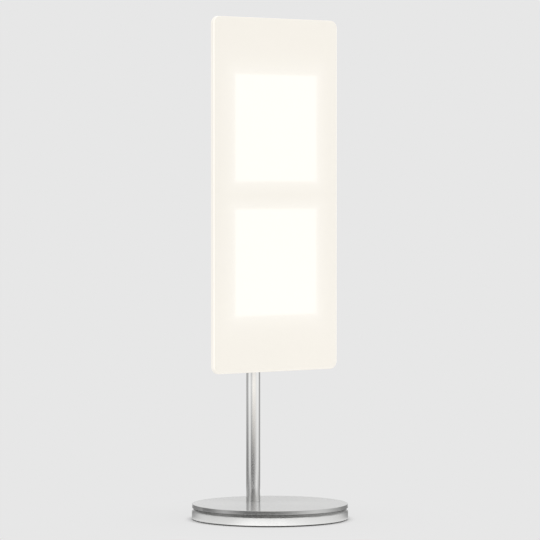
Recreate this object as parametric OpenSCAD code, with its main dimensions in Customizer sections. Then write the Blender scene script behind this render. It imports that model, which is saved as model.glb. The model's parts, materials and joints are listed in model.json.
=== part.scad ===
// Table lamp: an upright frosted panel with square light tiles, on a slim off-centre stem.
// The stem and panel stand on a thin top plate that turns on a heavy foot disc.
// Origin on the floor under the middle of the base, +Z up, the panel facing -Y.

/* [Base] */
// Diameter of the base, both discs
base_d = 132; // [124:1:160]
// Height of the dark gap under the foot disc
foot_lift = 1; // [0.8:0.1:2.4]
// Thickness of the foot disc
foot_h = 8.2; // [8:0.1:12]
// Depth of the V groove round the base
groove_d = 1.6; // [1:0.1:2.2]
// Height of the foot disc's top above the middle of the groove
groove_drop = 0.5; // [0.3:0.1:0.8]
// Running gap between the foot disc and the top plate
part_gap = 0.3; // [0.2:0.05:0.6]
// Thickness of the top plate
top_h = 3.8; // [3.8:0.1:7]
// How far the top plate's rim leans in towards its upper edge
rim_lean = 0.2; // [0:0.05:0.4]
// Fine broken edge on the visible rims
rim_edge = 0.25; // [0.1:0.05:0.5]

/* [Foot disc inside] */
// Diameter of the recess under the top plate
recess_d = 84; // [78:1:86]
// Depth of that recess
recess_depth = 2.6; // [2.5:0.1:3]
// Web left between the recess and the pocket below
web_t = 1.6; // [1.2:0.1:1.8]
// How far the rubber ring sits in from the rim
ring_inset = 4; // [2:0.5:5]
// Width of the rubber ring
ring_w = 5; // [3:0.5:5.5]
// Depth of the groove that holds the rubber ring
ring_seat = 1; // [0.6:0.1:1.4]
// How far the glide ring sits in from the rim
glide_inset = 12; // [10:0.5:13]
// Width of the glide ring
glide_w = 8; // [4:0.5:8]
// Depth of the groove that holds the glide ring
glide_seat = 1.2; // [0.8:0.1:1.4]
// How far the bottom cover's seat lies in from the rim
cover_inset = 14; // [13:0.5:15]
// Thickness of the bottom cover
cover_t = 1; // [0.9:0.1:1.1]
// Ledge that the bottom cover rests on
cover_ledge = 2.5; // [1.5:0.5:3]

/* [Swivel] */
// Turn to each side of straight ahead
swivel_turn = 150; // [60:5:165]
// Diameter of the hollow spindle
spindle_d = 14; // [13:0.5:14]
// Bore of the spindle, for the lead
spindle_bore = 9; // [8.6:0.2:10]
// Diameter of the spindle's flange
flange_d = 25; // [24.5:0.1:25.5]
// Thickness of that flange
flange_t = 1.4; // [1.3:0.1:1.5]
// Circle of the three flange screws
flange_pcd = 20; // [19.5:0.1:20.2]
// Diameter of the hub that the spindle turns in
hub_d = 24; // [22:0.5:24.5]
// Length of the bearing in the hub
hub_h = 2.2; // [1.8:0.1:2.3]
// Thickness of the friction washer
washer_t = 0.4; // [0.3:0.05:0.5]
// Width across flats of the spindle nut
spindle_nut_af = 19; // [18:0.5:19.5]
// Thickness of the spindle nut
spindle_nut_t = 1.25; // [1:0.05:1.4]
// Circle that the stop pin runs on, as a radius
stop_r = 33.5; // [32:0.5:35]
// Diameter of the stop pin
stop_pin_d = 3; // [2:0.5:4]

/* [Stem] */
// Distance of the stem behind the middle of the base
stem_back = 22; // [20.8:0.1:22]
// Outer diameter of the stem
stem_d = 12; // [11:0.5:13]
// Wall of the stem
stem_wall = 1.5; // [1.2:0.1:2]
// Step where the stem's threaded end passes through the top plate
stem_step = 0.5; // [0.3:0.1:0.8]
// Outer diameter of the stem nut
stem_nut_d = 15.6; // [15:0.1:16]
// Thickness of the stem nut
stem_nut_t = 2; // [1.5:0.1:2.2]
// Free length of the stem between base and panel
stem_free = 112; // [60:1:200]

/* [Light panel] */
// Width of the frosted panel
panel_w = 136; // [134:1:170]
// Height of the frosted panel
panel_h = 297; // [280:1:400]
// Thickness of the frosted panel
panel_t = 3.8; // [3.4:0.1:6]
// Corner radius of the frosted panel
panel_corner = 6.5; // [6:0.5:14]
// Fine bevel on the panel's edges
panel_bevel = 0.5; // [0.2:0.1:1]
// Distance of the panel's face ahead of the middle of the base
panel_ahead = 8.2; // [6:0.1:10]
// Thickness left in front of each tile
window_t = 1.2; // [0.6:0.1:1.5]
// Edge length of the square light tile
tile_size = 100; // [90:1:104]
// Thickness of a light tile
tile_t = 1.8; // [1:0.1:2]
// Edge length of the lit square on a tile
lit_size = 90; // [80:1:92]
// Distance between the middles of the tiles
tile_pitch = 112.5; // [112:0.5:130]
// Thickness of the heat spreader behind a tile
spreader_t = 0.5; // [0.3:0.1:0.8]
// Thickness of the bonding tape behind the panel
tape_t = 0.4; // [0.2:0.05:0.8]
// Width of the bonding tape
tape_w = 6; // [4:0.5:6.5]
// Thickness of the back plate
back_t = 2; // [1.5:0.1:3]
// How far the back plate stays in from the panel's edge
back_inset = 4; // [2:0.5:6]

/* [Rear housing] */
// Width of the rear housing
housing_w = 84; // [80:1:92]
// Height of the rear housing
housing_h = 150; // [140:1:160]
// Corner radius of the rear housing
housing_corner = 10; // [7:0.5:12]
// Bevel round the rear face of the housing
housing_bevel = 2; // [0.5:0.1:2.5]
// Wall of the rear housing
housing_wall = 2; // [1.6:0.1:2.4]
// Height of the housing's upper end above the upper tile's flat lead
housing_over = 5.65; // [5:0.05:7]
// Wall of the stem socket in front of the stem
socket_front = 2; // [1.5:0.1:2.5]
// Wall of the stem socket round the stem
socket_wall = 3; // [2.5:0.1:4]
// Width of the stem socket's foot
socket_w = 22; // [21:0.5:26]
// Length of stem held in the socket
socket_grip = 54; // [50:1:60]
// Height of the socket's lower end above the housing's
socket_rise = 6; // [2:1:10]
// Width of the long vents
vent_w = 1.6; // [1:0.1:2.4]
// Length of a vent
vent_l = 26; // [16:1:30]
// Number of vents in a row
vent_count = 5; // [1:1:6]

/* [Dimmer button] */
// Diameter of the push button
button_d = 10; // [8:0.5:12]
// How far the button stands out of the housing
button_out = 1.8; // [1.4:0.1:3]
// Travel of the button
button_travel = 1; // [0.6:0.1:1]
// Height of the button above the housing's lower end
button_rise = 98; // [90:1:110]

/* [Leads and boards] */
// Diameter of the internal lead
lead_d = 1.5; // [1.2:0.1:1.6]
// Bend radius of the internal lead
lead_bend = 3; // [2.8:0.1:3.2]
// Thickness of the board in the foot
foot_board_t = 0.8; // [0.6:0.1:0.8]
// Thickness of the driver board in the head
head_board_t = 1.6; // [1:0.1:1.6]
// Width of the flat leads to the tiles
flex_w = 12; // [8:1:16]
// Thickness of those flat leads
flex_t = 0.2; // [0.1:0.05:0.3]

/* [Fasteners] */
// Thread of the small screws in the foot
small_screw_d = 2; // [1.6:0.1:2]
// Thread of the flange and board screws
mid_screw_d = 2.5; // [2:0.1:2.5]
// Thread of the housing and socket screws
large_screw_d = 3; // [2.5:0.1:3]
// Thread of the grub screws in the socket
grub_d = 4; // [3:0.5:5]

/* [Clearances] */
// Radial clearance of a turning or sliding fit
run_fit = 0.05; // [0.02:0.01:0.1]
// Clearance of a thread or a pressed seat
seat_fit = 0.02; // [0.01:0.01:0.05]
// Loose clearance round a part laid in a pocket
lay_fit = 0.15; // [0.1:0.05:0.25]
// Least gap between things that pass each other inside the foot
pass_gap = 0.2; // [0.15:0.05:0.3]

/* [Hidden] */
$fn = 96;
over = 0.1;
hole_end = 0.4;
base_r = base_d / 2;
stem_r = stem_d / 2;
stem_bore_r = stem_r - stem_wall;
spigot_r = stem_r - stem_step;
lead_r = lead_d / 2;

// Levels of the base, from the floor up
foot_z0 = foot_lift;
foot_z1 = foot_z0 + foot_h;
top_z0 = foot_z1 + part_gap;
top_z1 = top_z0 + top_h;
recess_z = foot_z1 - recess_depth;
pocket_z = recess_z - web_t;
cover_z1 = foot_z0 + cover_t;
flange_z = top_z0 - flange_t;
hub_z1 = flange_z - pass_gap;
hub_z0 = hub_z1 - hub_h;
washer_z = hub_z0 - washer_t;
nut_z1 = washer_z - run_fit;
nut_z0 = nut_z1 - spindle_nut_t;
nut_corner_r = spindle_nut_af / 2 / cos(30);
nut_room_r = nut_corner_r + 0.6;
stem_end_z = top_z0 - stem_nut_t;

// Radii of the base, and the groove between its discs
groove_z = foot_z1 - groove_drop;
groove_r = base_r - groove_d;
undercut = groove_d - groove_drop - part_gap;
cover_r = base_r - cover_inset;
pocket_r = cover_r - cover_ledge;
ring_r1 = base_r - ring_inset;
ring_r0 = ring_r1 - ring_w;
glide_r1 = base_r - glide_inset;
glide_r0 = glide_r1 - glide_w;
boss_in = 5.5;
boss_circle = pocket_r - boss_in;
boss_r = 4;
boss_top_z = pocket_z + web_t / 2;
cover_screw_len = 4;

// Stop: the pin starts at the front, the land is centred at the back
stop_pin_r = stop_pin_d / 2;
stop_gap = 0.3;
stop_land_w = 5;
stop_land_h = 2;
stop_half = 180 - swivel_turn - asin((stop_pin_r + stop_gap) / stop_r);
stop_pin_depth = 2.3;
stop_floor_gap = 0.4;

// Power inlet at the back of the foot disc: a flat round-ended nose with a contact tongue in it
inlet_w = 10;
inlet_h = 4;
inlet_len = 10;
inlet_y1 = base_r - 11;
inlet_y0 = inlet_y1 - inlet_len;
inlet_z0 = cover_z1 + pass_gap;
inlet_zc = inlet_z0 + inlet_h / 2;
inlet_nose_w = 9.4;
inlet_nose_h = 3.6;
inlet_wall = 0.5;
inlet_nose_y = base_r - 0.8;
inlet_floor_y = inlet_y1 + 0.5;
blade_w = 6.4;
blade_t = 0.7;
blade_y1 = inlet_nose_y - 0.6;
contact_t = 0.1;
tongue_w = 12;

// Foot board, hung under the web on four short bosses, between the spindle nut and the inlet
board_gap = 0.6;
board_z1 = pocket_z - board_gap;
board_z0 = board_z1 - foot_board_t;
board_w = 48;
board_y0 = nut_corner_r + 3;
board_y1 = inlet_y0 - 3;
board_screw_in = 4;
board_screw_x = board_w / 2 - board_screw_in;
board_screw_y = [board_y0 + board_screw_in, board_y1 - board_screw_in];
board_screw_len = 2.4;
board_boss_r = 2.5;
terminal_y0 = board_y0 + board_screw_in;
part_low = 1.2;

// Lead inside the base
channel_w = lead_d + 0.5;
channel_h = lead_d + 0.3;
lead_play = 0.1;
lead_straight = 0.55;
lead_top_z = top_z0 + lead_play + lead_r;
lead_low_z = cover_z1 + lead_play / 2 + lead_r;
lead_join_z = lead_top_z - lead_bend - lead_straight;

// Stack of the head, from the face back along +Y
face_y = -panel_ahead;
tile_y0 = face_y + window_t;
tile_y1 = tile_y0 + tile_t;
spreader_y1 = tile_y1 + spreader_t;
panel_back_y = face_y + panel_t;
back_y0 = panel_back_y + tape_t;
back_y1 = back_y0 + back_t;
housing_y1 = stem_back - stem_r - socket_front;
housing_depth = housing_y1 - back_y1;
wall_y0 = housing_y1 - housing_wall;

// Heights of the head
panel_z0 = top_z1 + stem_free;
panel_zc = panel_z0 + panel_h / 2;
tile_lift = tile_pitch / 2;
tile_margin = 3.1;
upper_flex_z = panel_zc + tile_lift - tile_size / 2 + tile_margin;
lower_flex_z = panel_zc - tile_lift - tile_size / 2 + tile_margin;
housing_z0 = upper_flex_z + housing_over - housing_h;
housing_zc = housing_z0 + housing_h / 2;
socket_z0 = housing_z0 + socket_rise;
stem_top_z = socket_z0 + socket_grip;
socket_cap = 4;
lead_exit_z = stem_top_z + lead_bend;
socket_z1 = lead_exit_z + lead_r + socket_cap;
button_z = housing_z0 + button_rise;
housing_boss_r = 4.4;
housing_screw_in = 9;
housing_screw_x = housing_w / 2 - housing_screw_in;
housing_screw_z = housing_h / 2 - housing_screw_in;
head_sink = 2.4;
vent_drop = 18;
socket_screw_in = [3.2, 8];
socket_screw_x = socket_w / 2 - socket_screw_in[0];
socket_screw_z = [socket_screw_in[1], socket_grip - socket_screw_in[1]];
socket_screw_grip = 4.6;
socket_foot_t = 6;
grub_in = 14;
grub_z = [grub_in, socket_grip - grub_in];

// Button and its switch
button_flange_t = 1;
button_rest_gap = 0.1;
button_end_gap = 0.3;
switch_h = 1;
switch_knob_h = 0.6;
button_stack = button_rest_gap + button_flange_t + button_travel + button_end_gap;

// Driver board in the housing, as far from its wall as the button and switch need
head_board_gap = button_stack + switch_knob_h + switch_h;
head_board_y1 = wall_y0 - head_board_gap;
head_board_y0 = head_board_y1 - head_board_t;
head_board_w = 60;
head_board_h = 110;
grid = head_board_w / 60;
head_board_drop = 75;
head_board_zc = upper_flex_z + housing_over - head_board_drop;
head_screw_in = 4;
head_screw_x = head_board_w / 2 - head_screw_in;
head_screw_z = head_board_h / 2 - head_screw_in;
driver_boss_r = 3;
driver_grip = 3;
grommet_r = 2.4;
flex_y = head_board_y0 - 2.8;
flex_bend = flex_y;
flex_socket_w = flex_w + 4;
flex_socket_h = 8;
upper_socket_z = head_board_zc + head_board_h / 2 - flex_socket_h - head_screw_in;
lower_socket_z = lower_flex_z + flex_bend + 1.4;

// Button's cap and bezel
bezel_wall = 0.9;
bezel_lip = 1;
bezel_out = 0.6;
button_r = button_d / 2;
button_hole_r = button_r + 2 * run_fit;
bezel_r = button_hole_r + bezel_wall;
flange_r = button_hole_r + 0.6;

steel = "#c9c9c7";
satin_steel = "#d5d5d3";
dark_steel = "#8d8e90";
zinc = "#b9bcc0";
brass = "#c8a24a";
frost = "#f5f1eb";
lit = "#fffff8";
white = "#efefec";
alu = "#d2d4d6";
black = "#26262a";
board_green = "#2f6b45";
rubber = "#2b2b2c";
acetal = "#e9e7df";
amber = "#c98a3a";

// Shared shapes

module tube(r_out, r_in, h) {
    difference() {
        cylinder(r = r_out, h = h);
        translate([0, 0, -over]) cylinder(r = r_in, h = h + 2 * over);
    }
}

module block(low, high) {
    translate(low) cube(high - low);
}

// Round bar along Y
module bar_y(x, y0, y1, z, r) {
    translate([x, y1, z]) rotate([90, 0, 0]) cylinder(r = r, h = y1 - y0);
}

// Flat shape with round ends
module long_round(w, h) {
    union() {
        square([w - h, h], center = true);
        for (sx = [-1, 1]) translate([sx * (w - h) / 2, 0]) circle(h / 2);
    }
}

// Flat bar with round ends along Y
module flat_bar_y(y0, y1, z, w, h) {
    translate([0, y1, z]) rotate([90, 0, 0]) linear_extrude(y1 - y0) long_round(w, h);
}

// Puts a shape drawn in the XY plane upright: its Y becomes height, its Z points forward
module upright(y_back, z_mid) {
    translate([0, y_back, z_mid]) rotate([90, 0, 0]) children();
}

module rounded_rect(w, h, r) {
    union() {
        square([w - 2 * r, h], center = true);
        square([w, h - 2 * r], center = true);
        for (sx = [-1, 1], sy = [-1, 1])
            translate([sx * (w / 2 - r), sy * (h / 2 - r)]) circle(r);
    }
}

function edge_section(w, t, back_c, front_c) = [
    [-w / 2 + back_c, 0], [w / 2 - back_c, 0], [w / 2, back_c], [w / 2, t - front_c],
    [w / 2 - front_c, t], [-w / 2 + front_c, t], [-w / 2, t - front_c], [-w / 2, back_c]
];

function corner_section(r, t, back_c, front_c) = [
    [0, 0], [r - back_c, 0], [r, back_c], [r, t - front_c], [r - front_c, t], [0, t]
];

// Slab with rounded corners and bevelled edges
module bevelled_slab(w, h, t, r, back_c, front_c) {
    union() {
        rotate([90, 0, 0])
            linear_extrude(h - 2 * r, center = true) polygon(edge_section(w, t, back_c, front_c));
        rotate([90, 0, 90])
            linear_extrude(w - 2 * r, center = true) polygon(edge_section(h, t, back_c, front_c));
        for (sx = [-1, 1], sy = [-1, 1])
            translate([sx * (w / 2 - r), sy * (h / 2 - r), 0])
                rotate_extrude() polygon(corner_section(r, t, back_c, front_c));
    }
}

// Countersunk screw: head flush with z = 0, shank down
module flat_screw(d, len) {
    head_r = flat_head_r(d);
    difference() {
        union() {
            translate([0, 0, -(head_r - d / 2)]) cylinder(r1 = d / 2, r2 = head_r, h = head_r - d / 2);
            translate([0, 0, -len]) cylinder(r = d / 2, h = len - (head_r - d / 2));
        }
        translate([0, 0, -0.24 * d]) cylinder(r = 0.36 * d, h = d, $fn = 6);
    }
}

function flat_head_r(d) = 0.93 * d;

// Seat for a countersunk screw, cut down from z = 0
module flat_seat(d, depth) {
    head_r = flat_head_r(d) + seat_fit;
    translate([0, 0, -(head_r - d / 2)]) cylinder(r1 = d / 2, r2 = head_r, h = head_r - d / 2);
    cylinder(r = head_r, h = over);
    translate([0, 0, -depth]) cylinder(r = d / 2 + run_fit, h = depth);
}

// Low-headed screw: head above z = 0, shank down
module pan_screw(d, len) {
    head_h = pan_head_h(d);
    difference() {
        union() {
            cylinder(r = pan_head_r(d), h = head_h);
            translate([0, 0, -len]) cylinder(r = d / 2, h = len + over);
        }
        translate([0, 0, head_h - 0.3 * d]) cylinder(r = 0.4 * d, h = d, $fn = 6);
    }
}

function pan_head_r(d) = 0.9 * d;
function pan_head_h(d) = 0.6 * d;

// Quarter bend of the lead in the YZ plane, from angle a0 measured from +Y towards +Z
module lead_elbow(cy, cz, a0) {
    translate([0, cy, cz]) rotate([90, 0, 90]) rotate([0, 0, a0])
        rotate_extrude(angle = 90) translate([lead_bend, 0]) circle(lead_r, $fn = 32);
}

module lead_upright(y, z0, z1) {
    translate([0, y, z0]) cylinder(r = lead_r, h = z1 - z0);
}

// Foot: everything that stands still

module at_cover_screws() {
    for (a = [45:90:315]) rotate([0, 0, a]) translate([boss_circle, 0, 0]) children();
}

module at_board_screws() {
    for (sx = [-1, 1], y = board_screw_y) translate([sx * board_screw_x, y, 0]) children();
}

module foot_body() {
    rotate_extrude() polygon([
        [0, foot_z0], [base_r - rim_edge, foot_z0], [base_r, foot_z0 + rim_edge],
        [base_r, groove_z - groove_d], [groove_r, groove_z], [groove_r + groove_drop, foot_z1], [0, foot_z1]
    ]);
}

module foot_disc() {
    color(satin_steel) difference() {
        union() {
            difference() {
                foot_body();
                translate([0, 0, recess_z]) cylinder(d = recess_d, h = foot_h);
                translate([0, 0, foot_z0 - over]) cylinder(r = pocket_r, h = pocket_z - foot_z0 + over);
                translate([0, 0, foot_z0 - over]) cylinder(r = cover_r, h = cover_t + over);
            }
            translate([0, 0, hub_z0]) cylinder(d = hub_d, h = hub_h);
            translate([0, 0, recess_z - over]) rotate([0, 0, 90 - stop_half])
                rotate_extrude(angle = 2 * stop_half)
                    translate([stop_r - stop_land_w / 2, 0]) square([stop_land_w, stop_land_h + over]);
            at_cover_screws() translate([0, 0, cover_z1]) cylinder(r = boss_r, h = boss_top_z - cover_z1);
            at_board_screws() translate([0, 0, board_z1])
                cylinder(r = board_boss_r, h = boss_top_z - board_z1);
        }
        translate([0, 0, foot_z0]) cylinder(r = nut_room_r, h = hub_z0 - foot_z0);
        translate([0, 0, foot_z0]) cylinder(r = spindle_d / 2 + run_fit, h = foot_h + over);
        translate([0, 0, foot_z1 - glide_seat])
            tube(glide_r1 + lay_fit, glide_r0 - lay_fit, glide_seat + over);
        translate([0, 0, foot_z0 - over]) tube(ring_r1 + lay_fit, ring_r0 - lay_fit, ring_seat + over);
        block([-inlet_w / 2 - lay_fit, inlet_y0 - lay_fit, foot_z0 - over],
              [inlet_w / 2 + lay_fit, inlet_y1 + lay_fit, inlet_z0 + inlet_h + lay_fit]);
        block([-tongue_w / 2 - lay_fit, inlet_y0, foot_z0 - over],
              [tongue_w / 2 + lay_fit, inlet_y1 + lay_fit, cover_z1]);
        flat_bar_y(inlet_y1, base_r + over, inlet_zc, inlet_nose_w + 2 * run_fit, inlet_nose_h + 2 * run_fit);
        at_cover_screws() translate([0, 0, foot_z0])
            cylinder(r = small_screw_d / 2 + seat_fit, h = cover_screw_len + hole_end);
        at_board_screws() translate([0, 0, board_z1 - over])
            cylinder(r = small_screw_d / 2 + seat_fit, h = recess_z - hole_end - board_z1 + over);
    }
}

module foot_ring() {
    color(rubber) tube(ring_r1, ring_r0, foot_z0 + ring_seat);
}

module bottom_cover() {
    color(dark_steel) difference() {
        union() {
            translate([0, 0, foot_z0]) cylinder(r = cover_r - lay_fit, h = cover_t);
            block([-tongue_w / 2, 0, foot_z0], [tongue_w / 2, inlet_y1, cover_z1]);
        }
        at_cover_screws() translate([0, 0, foot_z0])
            rotate([180, 0, 0]) flat_seat(small_screw_d, cover_t + over);
    }
}

module cover_screws() {
    color(zinc) at_cover_screws() translate([0, 0, foot_z0])
        rotate([180, 0, 0]) flat_screw(small_screw_d, cover_screw_len);
}

module glide_ring() {
    color(acetal) translate([0, 0, foot_z1 - glide_seat])
        tube(glide_r1, glide_r0, glide_seat + part_gap - run_fit);
}

module friction_washer() {
    color(steel) translate([0, 0, washer_z]) tube(nut_corner_r - 0.4, spindle_d / 2 + 0.2, washer_t);
}

module foot_board() {
    color(board_green) difference() {
        block([-board_w / 2, board_y0, board_z0], [board_w / 2, board_y1, board_z1]);
        at_board_screws() translate([0, 0, board_z0 - over])
            cylinder(r = small_screw_d / 2 + lay_fit, h = foot_board_t + 2 * over);
    }
}

// Chips, choke and lead terminal under the board
module foot_board_parts() {
    low_z = board_z0 - part_low;
    color(black) {
        block([-15, board_y0 + 7, low_z], [-9, board_y0 + 13, board_z0]);
        block([7, board_y0 + 7, low_z + 0.4], [14, board_y0 + 12, board_z0]);
        block([-3, terminal_y0, cover_z1 + over], [3, terminal_y0 + 4, board_z0]);
        translate([-10, board_y1 - 6, low_z]) cylinder(r = 3.5, h = part_low);
        translate([11, board_y1 - 6, low_z]) cylinder(r = 3, h = part_low);
    }
}

module foot_board_screws() {
    color(zinc) at_board_screws() translate([0, 0, board_z0])
        rotate([180, 0, 0]) pan_screw(small_screw_d, board_screw_len);
}

module power_inlet() {
    color(black) union() {
        difference() {
            union() {
                block([-inlet_w / 2, inlet_y0, inlet_z0], [inlet_w / 2, inlet_y1, inlet_z0 + inlet_h]);
                flat_bar_y(inlet_y1 - over, inlet_nose_y, inlet_zc, inlet_nose_w, inlet_nose_h);
            }
            flat_bar_y(inlet_floor_y, inlet_nose_y + over, inlet_zc,
                       inlet_nose_w - 2 * inlet_wall, inlet_nose_h - 2 * inlet_wall);
        }
        block([-blade_w / 2, inlet_floor_y - over, inlet_zc - blade_t / 2],
              [blade_w / 2, blade_y1, inlet_zc + blade_t / 2]);
    }
}

// Contact strips on both sides of the tongue, and three solder tabs
module inlet_contacts() {
    color(brass) {
        for (x = [-2:2], side = [-1, 1])
            translate([x, 0, inlet_zc + side * (blade_t + contact_t) / 2])
                block([-0.25, inlet_floor_y, -contact_t / 2], [0.25, blade_y1 - 0.5, contact_t / 2]);
        for (x = [-2.8, 0, 2.8])
            block([x - 0.6, board_y1 - 1, board_z0 - 0.2], [x + 0.6, inlet_y0, board_z0]);
    }
}

// From the terminal under the board to the swivel axis
module foot_lead() {
    color(black) union() {
        lead_upright(0, lead_low_z + lead_bend, lead_join_z);
        lead_elbow(lead_bend, lead_low_z + lead_bend, 180);
        bar_y(0, lead_bend, terminal_y0, lead_low_z, lead_r);
    }
}

// Lamp: everything that turns on the foot

module at_flange_screws() {
    for (a = [-90, 30, 150]) rotate([0, 0, a]) translate([flange_pcd / 2, 0, 0]) children();
}

module top_body() {
    rotate_extrude() polygon([
        [0, top_z0], [base_r - undercut, top_z0], [base_r, top_z0 + undercut],
        [base_r - rim_lean, top_z1 - rim_edge], [base_r - rim_lean - rim_edge, top_z1], [0, top_z1]
    ]);
}

module top_plate() {
    color(satin_steel) difference() {
        top_body();
        translate([0, stem_back, top_z0 - over]) cylinder(r = spigot_r + seat_fit, h = top_h + 2 * over);
        block([-channel_w / 2, -lead_r - 0.3, top_z0 - over], [channel_w / 2, stem_back, top_z0 + channel_h]);
        at_flange_screws() translate([0, 0, top_z0 - over])
            cylinder(r = mid_screw_d / 2 + seat_fit, h = 2.8 + over);
        translate([0, -stop_r, top_z0 - over]) cylinder(r = stop_pin_r + seat_fit, h = stop_pin_depth + over);
    }
}

module spindle() {
    color(zinc) difference() {
        union() {
            translate([0, 0, nut_z0]) cylinder(d = spindle_d, h = top_z0 - nut_z0);
            translate([0, 0, flange_z]) cylinder(d = flange_d, h = flange_t);
        }
        translate([0, 0, nut_z0 - over]) cylinder(d = spindle_bore, h = top_z0 - nut_z0 + 2 * over);
        at_flange_screws() translate([0, 0, flange_z])
            rotate([180, 0, 0]) flat_seat(mid_screw_d, flange_t + over);
    }
}

module spindle_screws() {
    color(dark_steel) at_flange_screws() translate([0, 0, flange_z])
        rotate([180, 0, 0]) flat_screw(mid_screw_d, flange_t + 2.6);
}

module spindle_nut() {
    color(zinc) translate([0, 0, nut_z0]) difference() {
        cylinder(r = nut_corner_r, h = spindle_nut_t, $fn = 6);
        translate([0, 0, -over]) cylinder(r = spindle_d / 2 + seat_fit, h = spindle_nut_t + 2 * over);
    }
}

module stop_pin() {
    color(dark_steel) translate([0, -stop_r, recess_z + stop_floor_gap])
        cylinder(r = stop_pin_r, h = top_z0 + stop_pin_depth - recess_z - stop_floor_gap);
}

module stem_tube() {
    color(steel) difference() {
        union() {
            translate([0, stem_back, top_z1]) cylinder(r = stem_r, h = stem_top_z - top_z1);
            translate([0, stem_back, stem_end_z]) cylinder(r = spigot_r, h = top_z1 - stem_end_z + over);
        }
        translate([0, stem_back, stem_end_z - over])
            cylinder(r = stem_bore_r, h = stem_top_z - stem_end_z + 2 * over);
        block([-channel_w / 2, stem_back - stem_r, top_z0], [channel_w / 2, stem_back, top_z0 + channel_h]);
    }
}

module stem_nut() {
    color(zinc) translate([0, stem_back, stem_end_z]) difference() {
        tube(stem_nut_d / 2, spigot_r + seat_fit, stem_nut_t);
        for (a = [45:90:315]) rotate([0, 0, a])
            block([stem_nut_d / 2 - 1.2, -1, -over], [stem_nut_d / 2 + 1, 1, stem_nut_t + over]);
    }
}

// From the swivel axis through the channel, up the stem and into the housing
module stem_lead() {
    color(black) union() {
        lead_upright(0, lead_join_z, lead_top_z - lead_bend);
        lead_elbow(lead_bend, lead_top_z - lead_bend, 90);
        bar_y(0, lead_bend, stem_back - lead_bend, lead_top_z, lead_r);
        lead_elbow(stem_back - lead_bend, lead_top_z + lead_bend, 270);
        lead_upright(stem_back, lead_top_z + lead_bend, stem_top_z);
        lead_elbow(stem_back - lead_bend, stem_top_z, 0);
        bar_y(0, head_board_y1 + 3, stem_back - lead_bend, lead_exit_z, lead_r);
    }
}

module at_socket_screws() {
    for (sx = [-1, 1], z = socket_screw_z) translate([sx * socket_screw_x, 0, socket_z0 + z]) children();
}

module socket_section() {
    intersection() {
        union() {
            translate([-socket_w / 2, housing_y1]) square([socket_w, socket_foot_t]);
            translate([0, stem_back]) circle(stem_r + socket_wall);
            translate([-stem_r - socket_wall, housing_y1])
                square([2 * (stem_r + socket_wall), stem_back - housing_y1]);
        }
        translate([-socket_w, housing_y1]) square([2 * socket_w, 2 * stem_back]);
    }
}

module stem_socket() {
    color(alu) difference() {
        translate([0, 0, socket_z0]) linear_extrude(socket_z1 - socket_z0) socket_section();
        translate([0, stem_back, socket_z0 - over]) cylinder(r = stem_r + run_fit, h = socket_grip + over);
        translate([0, stem_back, stem_top_z - over]) cylinder(r = stem_bore_r, h = lead_bend + lead_r + 1);
        bar_y(0, housing_y1 - over, stem_back, lead_exit_z, lead_r + 0.3);
        at_socket_screws() bar_y(0, housing_y1 - over, housing_y1 + 5, 0, large_screw_d / 2 + seat_fit);
        for (z = grub_z) translate([0, 0, socket_z0 + z])
            bar_y(0, stem_back, stem_back + stem_r + socket_wall + over, 0, grub_d / 2 + seat_fit);
    }
}

module socket_screws() {
    color(zinc) at_socket_screws() translate([0, wall_y0, 0]) rotate([90, 0, 0])
        pan_screw(large_screw_d, housing_wall + socket_screw_grip);
}

module grub_screws() {
    color(dark_steel) for (z = grub_z)
        translate([0, stem_back + stem_r + seat_fit, socket_z0 + z]) rotate([-90, 0, 0]) difference() {
            cylinder(d = grub_d, h = socket_wall - 0.3);
            translate([0, 0, socket_wall - 1.9]) cylinder(r = grub_d * 0.28, h = 2, $fn = 6);
        }
}

module lead_grommet() {
    color(rubber) difference() {
        union() {
            bar_y(0, wall_y0, housing_y1, lead_exit_z, grommet_r);
            bar_y(0, wall_y0 - 0.7, wall_y0, lead_exit_z, grommet_r + 1);
        }
        bar_y(0, wall_y0 - 1, housing_y1 + over, lead_exit_z, lead_r);
    }
}

module at_housing_screws() {
    for (sx = [-1, 1], sz = [-1, 1])
        translate([sx * housing_screw_x, 0, housing_zc + sz * housing_screw_z]) children();
}

module at_driver_screws() {
    for (sx = [-1, 1], sz = [-1, 1])
        translate([sx * head_screw_x, 0, head_board_zc + sz * head_screw_z]) children();
}

// Row of long round-ended vents through the housing's rear wall
module vents(z_mid) {
    upright(housing_y1 + over, z_mid) linear_extrude(housing_wall + 2 * over)
        for (i = [0:vent_count - 1]) translate([0, (i - (vent_count - 1) / 2) * 2.5 * vent_w])
            long_round(vent_l, vent_w);
}

module rear_housing() {
    color(alu) difference() {
        union() {
            difference() {
                upright(housing_y1, housing_zc)
                    bevelled_slab(housing_w, housing_h, housing_depth, housing_corner, housing_bevel, 0.3);
                upright(wall_y0, housing_zc)
                    bevelled_slab(housing_w - 2 * housing_wall, housing_h - 2 * housing_wall,
                                  housing_depth + 1, housing_corner - housing_wall, 1, 0.3);
            }
            at_housing_screws() bar_y(0, back_y1, housing_y1 - 1, 0, housing_boss_r);
            at_driver_screws() bar_y(0, head_board_y1, wall_y0 + over, 0, driver_boss_r);
        }
        at_housing_screws() bar_y(0, back_y1 - over, housing_y1 + over, 0, large_screw_d / 2 + lay_fit);
        at_housing_screws()
            bar_y(0, housing_y1 - head_sink, housing_y1 + over, 0, pan_head_r(large_screw_d) + 0.3);
        at_driver_screws() bar_y(0, head_board_y1 - over, head_board_y1 + driver_grip + hole_end,
                                 0, mid_screw_d / 2 + seat_fit);
        at_socket_screws() bar_y(0, wall_y0 - over, housing_y1 + over, 0, large_screw_d / 2 + lay_fit);
        bar_y(0, wall_y0 - over, housing_y1 + over, lead_exit_z, grommet_r);
        bar_y(0, wall_y0 - over, housing_y1 + over, button_z, bezel_r);
        vents(housing_z0 + housing_h - vent_drop);
    }
}

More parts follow.
